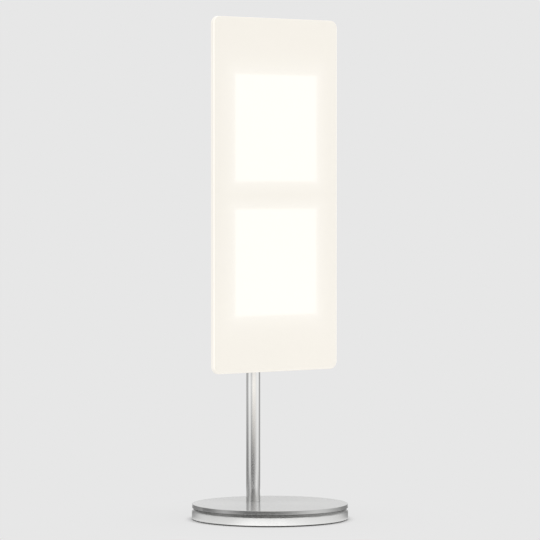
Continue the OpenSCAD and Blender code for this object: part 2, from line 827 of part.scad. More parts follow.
module housing_screws() {
    color(zinc) at_housing_screws() translate([0, housing_y1 - head_sink, 0]) rotate([-90, 0, 0])
        pan_screw(large_screw_d, housing_y1 - head_sink - back_y0 - 0.2);
}

module back_plate() {
    color(white) difference() {
        upright(back_y1, panel_zc) linear_extrude(back_t)
            rounded_rect(panel_w - 2 * back_inset, panel_h - 2 * back_inset, panel_corner - back_inset / 2);
        at_housing_screws() bar_y(0, back_y0 - over, back_y1 + over, 0, large_screw_d / 2 + seat_fit);
        for (z = [upper_flex_z, lower_flex_z])
            block([-flex_w / 2 - 1, back_y0 - over, z - 1.5], [flex_w / 2 + 1, back_y1 + over, z + 1.5]);
    }
}

module bond_tape() {
    edge = back_inset + 1.5;
    outer_w = panel_w - 2 * edge;
    outer_h = panel_h - 2 * edge;
    color(white) upright(back_y0, panel_zc) linear_extrude(tape_t) difference() {
        rounded_rect(outer_w, outer_h, 5);
        rounded_rect(outer_w - 2 * tape_w, outer_h - 2 * tape_w, 2);
    }
}

module diffuser() {
    pocket = tile_size + 2 * lay_fit;
    color(frost) difference() {
        upright(panel_back_y, panel_zc)
            bevelled_slab(panel_w, panel_h, panel_t, panel_corner, panel_bevel, panel_bevel);
        for (s = [-1, 1])
            block([-pocket / 2, tile_y0, panel_zc + s * tile_lift - pocket / 2],
                  [pocket / 2, panel_back_y + over, panel_zc + s * tile_lift + pocket / 2]);
    }
}

// Glass tile with its lit square a little proud at the front
module light_tile(z_mid) {
    lit_t = 0.1;
    color(lit) union() {
        block([-tile_size / 2, tile_y0 + lit_t, z_mid - tile_size / 2],
              [tile_size / 2, tile_y1, z_mid + tile_size / 2]);
        block([-lit_size / 2, tile_y0, z_mid - lit_size / 2],
              [lit_size / 2, tile_y0 + lit_t + over, z_mid + lit_size / 2]);
    }
}

module upper_tile() {
    light_tile(panel_zc + tile_lift);
}

module lower_tile() {
    light_tile(panel_zc - tile_lift);
}

module heat_spreaders() {
    color(alu) for (z = [panel_zc + tile_lift, panel_zc - tile_lift])
        block([-tile_size / 2 + 4, tile_y1, z - tile_size / 2 + 8],
              [tile_size / 2 - 4, spreader_y1, z + tile_size / 2 - 2]);
}

module tile_pads() {
    color(black) for (z = [panel_zc + tile_lift, panel_zc - tile_lift], dz = [-24, 30])
        block([-tile_size / 2 + 10, spreader_y1, z + dz - 6], [tile_size / 2 - 10, back_y0, z + dz + 6]);
}

// Flat lead: straight back through the plate, then a quarter bend towards its socket
module flat_lead(z, dir, z_end) {
    translate([-flex_w / 2, 0, z]) rotate([90, 0, 90]) linear_extrude(flex_w) union() {
        translate([tile_y1, -flex_t / 2]) square([-tile_y1, flex_t]);
        translate([0, dir * flex_bend]) intersection() {
            difference() {
                circle(flex_bend + flex_t / 2);
                circle(flex_bend - flex_t / 2);
            }
            translate([0, dir > 0 ? -2 * flex_bend : 0]) square(2 * flex_bend);
        }
        translate([flex_bend - flex_t / 2, min(dir * flex_bend, z_end - z)])
            square([flex_t, abs(z_end - z - dir * flex_bend)]);
    }
}

module tile_flexes() {
    color(amber) {
        flat_lead(upper_flex_z, -1, upper_socket_z + flex_socket_h);
        flat_lead(lower_flex_z, 1, lower_socket_z);
    }
}

module driver_board() {
    color(board_green) difference() {
        upright(head_board_y1, head_board_zc) linear_extrude(head_board_t)
            rounded_rect(head_board_w, head_board_h, 2);
        at_driver_screws() bar_y(0, head_board_y0 - over, head_board_y1 + over, 0, mid_screw_d / 2 + lay_fit);
    }
}

module driver_chips() {
    chips = grid * [[-12, 8, 8, 8], [10, 10, 7, 9], [14, -14, 5, 6], [-16, -16, 6, 5], [0, -22, 9, 4]];
    color(black) for (c = chips) translate([c[0], 0, head_board_zc + c[1]])
        block([-c[2] / 2, head_board_y0 - 1.4 * grid, -c[3] / 2], [c[2] / 2, head_board_y0, c[3] / 2]);
}

module driver_coils() {
    color(dark_steel) for (z = [-26, 26]) translate([-17 * grid, 0, head_board_zc + z * grid]) difference() {
        bar_y(0, head_board_y0 - 4.4 * grid, head_board_y0, 0, 5 * grid);
        bar_y(0, head_board_y0 - 5 * grid, head_board_y0 - 3.6 * grid, 0, 2 * grid);
    }
}

module driver_capacitors() {
    color(white) for (p = grid * [[16, 28], [16, -27], [2, 24]]) translate([p[0], 0, head_board_zc + p[1]])
        bar_y(0, head_board_y0 - 5.6 * grid, head_board_y0, 0, 3.15 * grid);
}

module flex_sockets() {
    color(black) for (z = [upper_socket_z, lower_socket_z])
        block([-flex_socket_w / 2, head_board_y0 - 3.6, z],
              [flex_socket_w / 2, head_board_y0, z + flex_socket_h]);
}

module lead_plug() {
    color(white) block([-4, head_board_y1, lead_exit_z - 3], [4, head_board_y1 + 3, lead_exit_z + 3]);
}

module driver_screws() {
    color(zinc) at_driver_screws() translate([0, head_board_y0, 0]) rotate([90, 0, 0])
        pan_screw(mid_screw_d, head_board_t + driver_grip);
}

module push_switch() {
    color(black) {
        block([-3, head_board_y1, button_z - 3], [3, head_board_y1 + switch_h, button_z + 3]);
        bar_y(0, head_board_y1 + switch_h, head_board_y1 + switch_h + switch_knob_h, button_z, 1.5);
    }
}

module button_bezel() {
    color(steel) difference() {
        union() {
            bar_y(0, wall_y0, housing_y1, button_z, bezel_r);
            bar_y(0, housing_y1, housing_y1 + bezel_out, button_z, bezel_r + bezel_lip);
        }
        bar_y(0, wall_y0 - over, housing_y1 + bezel_out + over, button_z, button_hole_r);
    }
}

// Button: a domed cap with a keeper flange inside the housing
module dimmer_button() {
    flange_y1 = wall_y0 - button_rest_gap;
    dome_r = 3 * button_r;
    cap_y = housing_y1 + button_out;
    color(satin_steel) union() {
        bar_y(0, flange_y1 - button_flange_t, flange_y1, button_z, flange_r);
        intersection() {
            bar_y(0, flange_y1 - over, cap_y, button_z, button_r);
            translate([0, cap_y - dome_r, button_z]) sphere(dome_r);
        }
    }
}

foot_disc();
foot_ring();
bottom_cover();
cover_screws();
glide_ring();
friction_washer();
foot_board();
foot_board_parts();
foot_board_screws();
power_inlet();
inlet_contacts();
foot_lead();
top_plate();
spindle();
spindle_screws();
spindle_nut();
stop_pin();
stem_tube();
stem_nut();
stem_lead();
stem_socket();
socket_screws();
grub_screws();
lead_grommet();
rear_housing();
housing_screws();
back_plate();
bond_tape();
diffuser();
upper_tile();
lower_tile();
heat_spreaders();
tile_pads();
tile_flexes();
driver_board();
driver_chips();
driver_coils();
driver_capacitors();
flex_sockets();
lead_plug();
driver_screws();
push_switch();
button_bezel();
dimmer_button();
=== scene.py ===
"""Finished pieces and studio for the table lamp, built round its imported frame. Sizes are in metres."""

import json
import math

import bmesh
import bpy
from bpy.props import FloatProperty, FloatVectorProperty, IntProperty, PointerProperty
from mathutils import Matrix, Vector


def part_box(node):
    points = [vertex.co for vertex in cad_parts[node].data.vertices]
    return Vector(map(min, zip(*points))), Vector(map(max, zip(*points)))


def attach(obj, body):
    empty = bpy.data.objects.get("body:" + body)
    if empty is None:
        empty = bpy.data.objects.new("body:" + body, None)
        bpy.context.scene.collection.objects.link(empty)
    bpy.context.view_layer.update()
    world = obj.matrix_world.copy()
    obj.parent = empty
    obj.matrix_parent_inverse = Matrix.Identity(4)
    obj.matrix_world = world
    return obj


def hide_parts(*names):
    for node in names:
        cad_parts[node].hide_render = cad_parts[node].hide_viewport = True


bl_info = {
    "name": "Light panel table lamp",
    "version": (1, 0, 0),
    "blender": (4, 5, 0),
    "location": "3D View > Sidebar > Lamp",
    "description": "Builds the finished pieces of a light panel table lamp and a plain studio for it",
    "category": "Object",
}

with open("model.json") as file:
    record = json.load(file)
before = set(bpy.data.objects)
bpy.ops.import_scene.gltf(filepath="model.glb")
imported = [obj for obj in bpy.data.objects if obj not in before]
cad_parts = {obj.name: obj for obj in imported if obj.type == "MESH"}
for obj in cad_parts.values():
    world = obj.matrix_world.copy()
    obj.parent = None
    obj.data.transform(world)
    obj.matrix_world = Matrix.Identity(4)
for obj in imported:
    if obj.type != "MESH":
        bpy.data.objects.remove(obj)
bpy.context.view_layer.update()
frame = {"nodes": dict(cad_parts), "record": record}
MM = 0.001

# Points closer than this are one
MERGE = 0.001 * MM
# A cutting tool reaches this far past the wall it opens
PAST = 0.2 * MM
# Steps round the smaller turned pieces and holes
STEM_STEPS, SEAT_STEPS, SCREW_STEPS, GRUB_STEPS = 96, 64, 48, 40
# A face whose normal lies along an axis by this share counts as flat
FLAT = 0.98
# Half the side of a lit square, as it shows through the acrylic
LIT_HALF = 43.6 * MM
# Heads of the housing's screws, the grub screws and the cover's screws
HEAD_RADIUS, HEAD_HEIGHT = 2.7 * MM, 1.8 * MM
GRUB_RADIUS, COVER_HEAD_RADIUS = 2 * MM, 1.86 * MM


def linear(code):
    """Turns an sRGB hex colour into linear red, green and blue."""
    parts = [int(code[i : i + 2], 16) / 255 for i in (1, 3, 5)]
    return tuple(c / 12.92 if c <= 0.04045 else ((c + 0.055) / 1.055) ** 2.4 for c in parts)


def colour(name, words, code):
    """A colour property of the sidebar."""
    start = linear(code)
    return FloatVectorProperty(name=name, description=words, subtype="COLOR", size=3, min=0, max=1, default=start)


def length(name, words, mm):
    """A length property of the sidebar, with its default in millimetres."""
    return FloatProperty(name=name, description=words, default=mm * MM, min=0, unit="LENGTH", precision=5)


def amount(name, words, start, **more):
    """A plain number of the sidebar, zero or more."""
    return FloatProperty(name=name, description=words, default=start, min=0, **more)


def angle(name, words, degrees):
    """An angle property of the sidebar, with its default in degrees."""
    return FloatProperty(name=name, description=words, default=math.radians(degrees), subtype="ANGLE")


# ---------------------------------------------------------------- sizes and finishes


class LampSizes(bpy.types.PropertyGroup):
    """Sizes that only the finished pieces have; the rest come from the frame."""

    edge_round: length("Edge rounding", "Radius of the broken edges on turned and milled pieces", 0.25)
    rim_lean: length("Rim lean", "How far the top plate's rim leans in at its upper edge", 0.2)
    groove: length("Groove", "Depth of the V groove round the base", 1.6)
    panel_round: length("Panel edge rounding", "Radius of the frosted panel's edges", 0.5)
    panel_corner: length("Panel corner", "Corner radius of the frosted panel", 6.5)
    housing_corner: length("Housing corner", "Corner radius of the rear housing", 10)
    housing_bevel: length("Housing bevel", "Bevel round the housing's rear face", 2)
    housing_wall: length("Housing wall", "Wall of the rear housing", 2)
    vent_length: length("Vent length", "Length of one vent", 26)
    vent_width: length("Vent width", "Width of one vent", 1.6)
    vent_pitch: length("Vent pitch", "Distance between two vents", 4)
    vent_drop: length("Vent place", "Middle of the vents below the housing's upper end", 18)
    vents: IntProperty(name="Vents", description="How many vents the housing has", default=5, min=1)
    socket_radius: length("Socket back", "Radius of the socket's round back", 9)
    socket_foot: length("Socket foot", "Depth of the socket's wide foot", 6)
    socket_grip: length("Socket grip", "How deep the stem's bore goes into the socket", 54)
    stem_wall: length("Stem wall", "Wall of the stem's tube", 1.5)
    inlet_width: length("Inlet width", "Width of the inlet's opening", 9.5)
    inlet_height: length("Inlet height", "Height of the inlet's opening", 3.7)
    round_steps: IntProperty(name="Turning steps", description="Steps round a turned disc", default=192, min=24)


class LampFinishes(bpy.types.PropertyGroup):
    """Colours and surface values of the finishes."""

    steel: colour("Satin steel", "Turned and satin finished stainless steel", "#B4B4B3")
    plate: colour("Ground steel", "Upper face of the base, ground stainless steel", "#CDCDCC")
    stem: colour("Stem steel", "Polished stainless tube", "#D3D3D2")
    frost: colour("Frosted acrylic", "Opal acrylic with a satin surface", "#E9E5DC")
    glow: colour("Glow", "Light that spreads inside the acrylic", "#FFFAF2")
    lit: colour("Lit area", "The lit square of a tile", "#F6FAFF")
    powder: colour("Powder coat", "White fine texture powder coat", "#EDEDEA")
    anodised: colour("Anodised aluminium", "Bead-blasted and clear anodised aluminium", "#C9CACB")
    zinc: colour("Zinc plate", "Bright zinc plated steel", "#B4B7BA")
    rubber: colour("Black rubber", "Moulded nitrile rubber", "#2A2A2B")
    glow_base: amount("Spread light", "Light of the whole panel", 0.22)
    glow_halo: amount("Halo", "Extra light close to a lit square", 0.085)
    glow_square: amount("Square light", "Extra light of a lit square", 0.055)
    halo_reach: length("Halo reach", "Distance over which the halo fades", 9)


class StudioSettings(bpy.types.PropertyGroup):
    """Camera, backdrop and lamps."""

    lens: amount("Lens", "Focal length on a 36 mm wide frame, in mm", 214.27)
    distance: length("Distance", "Camera's distance from the lamp's axis along the floor", 2711.3)
    height: length("Height", "Camera's height above the floor", 285.9)
    bearing: angle("Bearing", "Camera's turn away from straight ahead", -40.358)
    pitch: angle("Pitch", "Camera's tilt below level", 1.59)
    backdrop: colour("Backdrop", "Pale backdrop and floor, as the camera sees them", "#E7E7E7")
    ambient: amount("Ambient", "Even light from all round", 0.62)
    floor_tone: amount("Floor tone", "How pale the floor is under the lamps", 0.84, max=1)
    shadow: amount("Floor shadow", "Share of the object's shadow kept", 0.8, max=1)


# ---------------------------------------------------------------- places in the frame


def span(name):
    """Lowest and highest corner of a node of the frame."""
    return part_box(name)


def mid_z(name):
    """Middle height of a node of the frame."""
    low, high = span(name)
    return (low.z + high.z) / 2


def screw_spots():
    """Places (x, z) of the housing's four screws."""
    low, high = span("housing_screws")
    r = HEAD_RADIUS
    return [(x, z) for x in (low.x + r, high.x - r) for z in (low.z + r, high.z - r)]


def grub_heights():
    """Heights of the two grub screws in the socket."""
    low, high = span("grub_screws")
    return (low.z + GRUB_RADIUS, high.z - GRUB_RADIUS)


# ---------------------------------------------------------------- mesh making


def rounded(points, radii, steps=4, closed=True):
    """Rounds the corners of an outline of (x, y) points, each by its own radius. A guard point just before and
    after each round keeps the flats beside it flat when the piece is shaded smooth."""
    guard = 0.2  # of the radius
    count, out = len(points), []
    for i, point in enumerate(points):
        r = radii[i]
        if r <= 0 or (not closed and i in (0, count - 1)):
            out.append(tuple(point))
            continue
        here = Vector(point)
        a = (Vector(points[i - 1]) - here).normalized()
        b = (Vector(points[(i + 1) % count]) - here).normalized()
        half = a.angle(b) / 2
        centre = here + (a + b).normalized() * (r / math.sin(half))
        start, end = here + a * (r / math.tan(half)), here + b * (r / math.tan(half))
        first, sweep = start - centre, (start - centre).angle_signed(end - centre)
        out.append(tuple(start + a * (guard * r)))
        for k in range(steps + 1):
            turn = -sweep * k / steps
            c, s = math.cos(turn), math.sin(turn)
            out.append((centre.x + first.x * c - first.y * s, centre.y + first.x * s + first.y * c))
        out.append(tuple(end + b * (guard * r)))
    return out


def arc(r, start, sweep, steps, x=0.0, y=0.0):
    """Points along part of a circle about (x, y)."""
    turns = [start + sweep * i / steps for i in range(steps + 1)]
    return [(x + r * math.cos(turn), y + r * math.sin(turn)) for turn in turns]


def rounded_rectangle(width, height, radius, steps):
    """Outline of a rectangle with round corners, with the same number of points for any size."""
    x, y, quarter = width / 2 - radius, height / 2 - radius, math.pi / 2
    corners = enumerate(((x, y), (-x, y), (-x, -y), (x, -y)))
    return [point for k, corner in corners for point in arc(radius, k * quarter, quarter, steps, *corner)]


def stacked(loops):
    """Closed solid through loops of equal length, with flat ends. Each loop is a list of points."""
    bm = bmesh.new()
    rings = [[bm.verts.new(p) for p in loop] for loop in loops]
    for low, high in zip(rings, rings[1:]):
        for i in range(len(low)):
            j = (i + 1) % len(low)
            bm.faces.new((low[i], low[j], high[j], high[i]))
    bm.faces.new(rings[0][::-1])
    bm.faces.new(rings[-1])
    bmesh.ops.recalc_face_normals(bm, faces=bm.faces)
    return bm


def slab(low, high, corner, path, steps=10):
    """Upright slab that fills a box's width and height, through (inset, depth) points from front to back."""
    width, height, middle = high.x - low.x, high.z - low.z, (low.z + high.z) / 2
    tightest = 0.1 * MM  # corner that is left where the inset takes up all of it
    loops = []
    for inset, y in path:
        radius = max(corner - inset, tightest)
        outline = rounded_rectangle(width - 2 * inset, height - 2 * inset, radius, steps)
        loops.append([(x, y, middle + z) for x, z in outline])
    return stacked(loops)


def flat_plug(width, height, z, stations, steps=10):
    """Plug along Y with a flat section and round ends, through (depth, growth) points."""
    loops = []
    for y, grow in stations:
        r = (height + grow) / 2
        x = (width + grow) / 2 - r
        ends = arc(r, -math.pi / 2, math.pi, steps, x) + arc(r, math.pi / 2, math.pi, steps, -x)
        loops.append([(px, y, z + pz) for px, pz in ends])
    return stacked(loops)


def turned(profile, steps, closed=False):
    """Solid turned round Z from a profile of (radius, height) points."""
    bm = bmesh.new()
    rings = []
    for i in range(steps):
        c, s = math.cos(2 * math.pi * i / steps), math.sin(2 * math.pi * i / steps)
        rings.append([bm.verts.new((r * c, r * s, z)) for r, z in profile])
    last = len(profile) if closed else len(profile) - 1
    for i in range(steps):
        a, b = rings[i], rings[(i + 1) % steps]
        for k in range(last):
            m = (k + 1) % len(profile)
            bm.faces.new((a[k], b[k], b[m], a[m]))
    bmesh.ops.remove_doubles(bm, verts=bm.verts, dist=MERGE)
    bmesh.ops.dissolve_degenerate(bm, edges=bm.edges, dist=MERGE)
    bmesh.ops.recalc_face_normals(bm, faces=bm.faces)
    return bm


def plug(side, steps):
    """Round plug with flat ends, from the (radius, height) points of its side."""
    return turned([(0, side[0][1]), *side, (0, side[-1][1])], steps)


def along_y(bm, x, z):
    """Lays a solid turned round Z along Y, through (x, z)."""
    lay = Matrix.Translation((x, 0, z)) @ Matrix.Rotation(-math.pi / 2, 4, "X")
    bmesh.ops.transform(bm, matrix=lay, verts=bm.verts)
    return bm


def shown(name, bm):
    """Puts a mesh under construction into the scene as an object."""
    mesh = bpy.data.meshes.new(name)
    bm.to_mesh(mesh)
    bm.free()
    obj = bpy.data.objects.new(name, mesh)
    bpy.context.scene.collection.objects.link(obj)
    return obj


def settled(obj):
    """Turns an object's modifiers into plain mesh without slivers, and drops them."""
    bpy.context.view_layer.update()
    mesh = bpy.data.meshes.new_from_object(obj.evaluated_get(bpy.context.evaluated_depsgraph_get()))
    mesh.name = obj.name
    bm = bmesh.new()
    bm.from_mesh(mesh)
    bmesh.ops.remove_doubles(bm, verts=bm.verts, dist=MERGE)
    many_sided = [face for face in bm.faces if len(face.verts) > 4]
    bmesh.ops.triangulate(bm, faces=many_sided, ngon_method="BEAUTY")
    bmesh.ops.dissolve_degenerate(bm, edges=bm.edges, dist=MERGE)
    bm.to_mesh(mesh)
    bm.free()
    obj.modifiers.clear()
    obj.data = mesh
    return obj


def combined(obj, tools, operation="DIFFERENCE"):
    """Cuts tools from an object, or joins them to it, and deletes the tools."""
    for tool in tools:
        step = obj.modifiers.new("Combine", "BOOLEAN")
        step.object, step.operation, step.solver = tool, operation, "EXACT"
    settled(obj)
    for tool in tools:
        bpy.data.objects.remove(tool)


def finished(obj, body, nodes, slot, sharp=30, material=None):
    """Shades a piece, gives it the finish of its slot or its own, and hangs it on its body."""
    obj.data.materials.clear()
    obj.data.materials.append(material or made_of(slot))
    obj.data.polygons.foreach_set("use_smooth", [True] * len(obj.data.polygons))
    obj.data.set_sharp_from_angle(angle=math.radians(sharp))
    obj.data.update()
    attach(obj, body)
    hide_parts(*nodes)


def partly(obj, material, chosen):
    """Gives a second material to the faces that chosen() picks."""
    obj.data.materials.append(material)
    for face in obj.data.polygons:
        face.material_index = int(chosen(face))


# ---------------------------------------------------------------- nodes


def feed(tree, target, inputs):
    """Sets or links a node's inputs: to values, to sockets, or to nodes whose first output is meant."""
    for name, value in inputs.items():
        if isinstance(value, bpy.types.Node):
            value = value.outputs[0]
        if isinstance(value, bpy.types.NodeSocket):
            tree.links.new(value, target.inputs[name])
        else:
            target.inputs[name].default_value = value


def node(tree, kind, inputs=None, **settings):
    """Adds one node with its own settings, and feeds its inputs."""
    made = tree.nodes.new(kind)
    for name, value in settings.items():
        setattr(made, name, value)
    feed(tree, made, inputs or {})
    return made


def group(name, **sockets):
    """Starts a geometry tree with named inputs of the given kinds. Returns the tree and its inputs."""
    tree = bpy.data.node_groups.new(name, "GeometryNodeTree")
    tree.interface.new_socket("Geometry", in_out="OUTPUT", socket_type="NodeSocketGeometry")
    for label, kind in sockets.items():
        tree.interface.new_socket(label, in_out="INPUT", socket_type=f"NodeSocket{kind}")
    return tree, tree.nodes.new("NodeGroupInput").outputs


def ended(tree, geometry, material):
    """Ends a geometry tree: its copies become real mesh and get their material."""
    real = node(tree, "GeometryNodeRealizeInstances", {0: geometry})
    paint = node(tree, "GeometryNodeSetMaterial", {"Geometry": real, "Material": material})
    node(tree, "NodeGroupOutput", {0: paint})
    return tree


def run(obj, tree, values):
    """Runs a geometry tree on an object with values by input name, and keeps the result as plain mesh."""
    step = obj.modifiers.new(tree.name, "NODES")
    step.node_group = tree
    for item in tree.interface.items_tree:
        if item.in_out == "INPUT" and item.name in values:
            step[item.identifier] = values[item.name]
    settled(obj)


def copies_tree():
    """Puts a turned copy of an item on every point of a mesh."""
    tree, given = group("Copies on points", Geometry="Geometry", Item="Object", Turn="Vector", Material="Material")
    item = node(tree, "GeometryNodeObjectInfo", {"Object": given["Item"]}).outputs["Geometry"]
    turn = node(tree, "FunctionNodeEulerToRotation", {"Euler": given["Turn"]})
    copies = {"Points": given["Geometry"], "Instance": item, "Rotation": turn}
    return ended(tree, node(tree, "GeometryNodeInstanceOnPoints", copies), given["Material"])


def slots_tree():
    """Cuts a row of equal slots out of a shell."""
    kinds = {"Slot": "Object", "Count": "Int", "First": "Vector", "Pitch": "Vector", "Material": "Material"}
    tree, given = group("Row of slots", Geometry="Geometry", **kinds)
    row = {"Count": given["Count"], "Start Location": given["First"], "Offset": given["Pitch"]}
    line = node(tree, "GeometryNodeMeshLine", row, mode="OFFSET")
    slot = node(tree, "GeometryNodeObjectInfo", {"Object": given["Slot"]}).outputs["Geometry"]
    slots = node(tree, "GeometryNodeInstanceOnPoints", {"Points": line, "Instance": slot})
    real = node(tree, "GeometryNodeRealizeInstances", {0: slots})
    pair = {0: given["Geometry"], 1: real}
    cut = node(tree, "GeometryNodeMeshBoolean", pair, operation="DIFFERENCE", solver="EXACT")
    return ended(tree, cut, given["Material"])


# ---------------------------------------------------------------- materials

# Places of the colour sockets on a Mix node
MIX_A, MIX_B, MIX_RESULT = 6, 7, 2


def bare(name):
    """Starts a material with nothing but its output. Returns it with its tree and the output."""
    material = bpy.data.materials.new(name)
    material.use_nodes = True
    tree = material.node_tree
    tree.nodes.clear()
    return material, tree, node(tree, "ShaderNodeOutputMaterial")


def surface(name, base, roughness, metallic=0.0, **inputs):
    """Starts the material of a piece. Returns it with its tree, its shader and its object coordinates."""
    material, tree, out = bare(name)
    values = {"Base Color": (*base, 1), "Roughness": roughness, "Metallic": metallic, **inputs}
    shader = node(tree, "ShaderNodeBsdfPrincipled", values)
    feed(tree, out, {"Surface": shader})
    material.diffuse_color = (*base, 1)
    material.metallic, material.roughness = metallic, roughness
    return material, tree, shader, node(tree, "ShaderNodeTexCoord").outputs["Object"]


def worn(tree, shader, vector, base, roughness, patch, spread, rough_spread, detail=3.0):
    """Varies colour and roughness a little with one noise, in patches of the given width."""
    noise = node(tree, "ShaderNodeTexNoise", {"Vector": vector, "Scale": 1 / patch, "Detail": detail})
    dark, light = ((*(min(1, c * (1 + side * spread)) for c in base), 1) for side in (-1, 1))
    tone = node(tree, "ShaderNodeMix", {"Factor": noise, MIX_A: dark, MIX_B: light}, data_type="RGBA")
    ends = {"To Min": roughness - rough_spread, "To Max": roughness + rough_spread}
    rough = node(tree, "ShaderNodeMapRange", {"Value": noise, **ends})
    feed(tree, shader, {"Base Color": tone.outputs[MIX_RESULT], "Roughness": rough})


def ringed(tree, shader, place, across, pitch, depth):
    """Fine rings round an axis, as a lathe tool leaves them. Across is 1 in the directions across the axis."""
    flat = node(tree, "ShaderNodeVectorMath", {0: place, 1: across}, operation="MULTIPLY")
    radius = node(tree, "ShaderNodeVectorMath", {0: flat}, operation="LENGTH").outputs["Value"]
    noise = {"W": radius, "Scale": 1 / pitch, "Detail": 2.0}
    rings = node(tree, "ShaderNodeTexNoise", noise, noise_dimensions="1D")
    feed(tree, shader, {"Normal": node(tree, "ShaderNodeBump", {"Height": rings, "Distance": depth})})


def turned_steel(name, base, metallic=1.0):
    """Stainless steel turned on a lathe and satin finished: fine rings round the axis stretch its highlights
    outwards, and a faint drift in tone keeps the flat from looking like paint. A ground face scatters part of
    the light, which a lower metallic stands for, so it mirrors what stands on it only in part."""
    roughness = 0.16
    brushed = {"Anisotropic": 0.6, "Anisotropic Rotation": 0.25}
    scatter = {} if metallic == 1 else {"Specular IOR Level": 0.0}
    material, tree, shader, place = surface(name, base, roughness, metallic, **brushed, **scatter)
    worn(tree, shader, place, base, roughness, patch=28.57 * MM, spread=0.02, rough_spread=0.03)
    # Rings 0.4 mm apart, coarser than the real 0.1 mm feed so that they show at all
    ringed(tree, shader, place, (1, 1, 0), 0.4 * MM, 0.002 * MM)
    feed(tree, shader, {"Tangent": node(tree, "ShaderNodeTangent", direction_type="RADIAL", axis="Z")})
    return material


def polished_tube(name, base):
    """Stainless tube polished round its girth: reflections stay narrow across it and stretch along it."""
    roughness = 0.14
    brushed = {"Anisotropic": 0.7, "Anisotropic Rotation": 0.25}
    material, tree, shader, place = surface(name, base, roughness, 1.0, **brushed)
    # Patches ten times as long as they are wide, as a belt leaves them
    stretch = node(tree, "ShaderNodeMapping", {"Vector": place, "Scale": (1.0, 1.0, 0.1)})
    worn(tree, shader, stretch, base, roughness, patch=6.67 * MM, spread=0.012, rough_spread=0.01, detail=1.0)
    feed(tree, shader, {"Tangent": node(tree, "ShaderNodeTangent", direction_type="RADIAL", axis="Z")})
    return material


def faced_cap(name, base, z):
    """Stainless cap faced on a lathe: fine rings round its own middle catch the light as a cone."""
    material, tree, shader, place = surface(name, base, 0.25, 1.0)
    centred = node(tree, "ShaderNodeMapping", {"Vector": place, "Location": (0, 0, -z)})
    # Rings 0.25 mm apart, coarser than the real 0.05 mm feed so that they show at all
    ringed(tree, shader, centred, (1, 0, 1), 0.25 * MM, 0.004 * MM)
    return material


def blasted(name, base, roughness, metallic, grit, depth, **inputs):
    """A fine even grain of so wide a grit, pressed, sprayed or blasted: a soft sheen without sparkle."""
    material, tree, shader, place = surface(name, base, roughness, metallic, **inputs)
    worn(tree, shader, place, base, roughness, patch=25 * MM, spread=0.015, rough_spread=0.03)
    grain = node(tree, "ShaderNodeTexNoise", {"Vector": place, "Scale": 1 / grit, "Detail": 2.0})
    feed(tree, shader, {"Normal": node(tree, "ShaderNodeBump", {"Height": grain, "Distance": depth})})
    return material


def moulded(name, base, roughness, ior, grit=0.6 * MM, depth=0.01 * MM):
    """Moulded plastic or rubber with a light spark-eroded grain."""
    return blasted(name, base, roughness, 0.0, grit, depth, IOR=ior)


def square_distance(tree, place):
    """Distance in the panel's plane to the nearer lit square, zero inside it. The panel is folded over its
    middle, so that both squares fall on one."""
    middle = mid_z("diffuser")
    lift = mid_z("upper_tile") - middle
    steps = (
        ("SUBTRACT", (0, 0, middle)),
        ("ABSOLUTE", (0, 0, 0)),
        ("SUBTRACT", (0, 0, lift)),
        ("ABSOLUTE", (0, 0, 0)),
        ("SUBTRACT", (LIT_HALF, 1, LIT_HALF)),  # the whole metre drops the depth out of the sum
        ("MAXIMUM", (0, 0, 0)),
        ("LENGTH", (0, 0, 0)),
    )
    for operation, by in steps:
        place = node(tree, "ShaderNodeVectorMath", {0: place, 1: by}, operation=operation)
    return place.outputs["Value"]


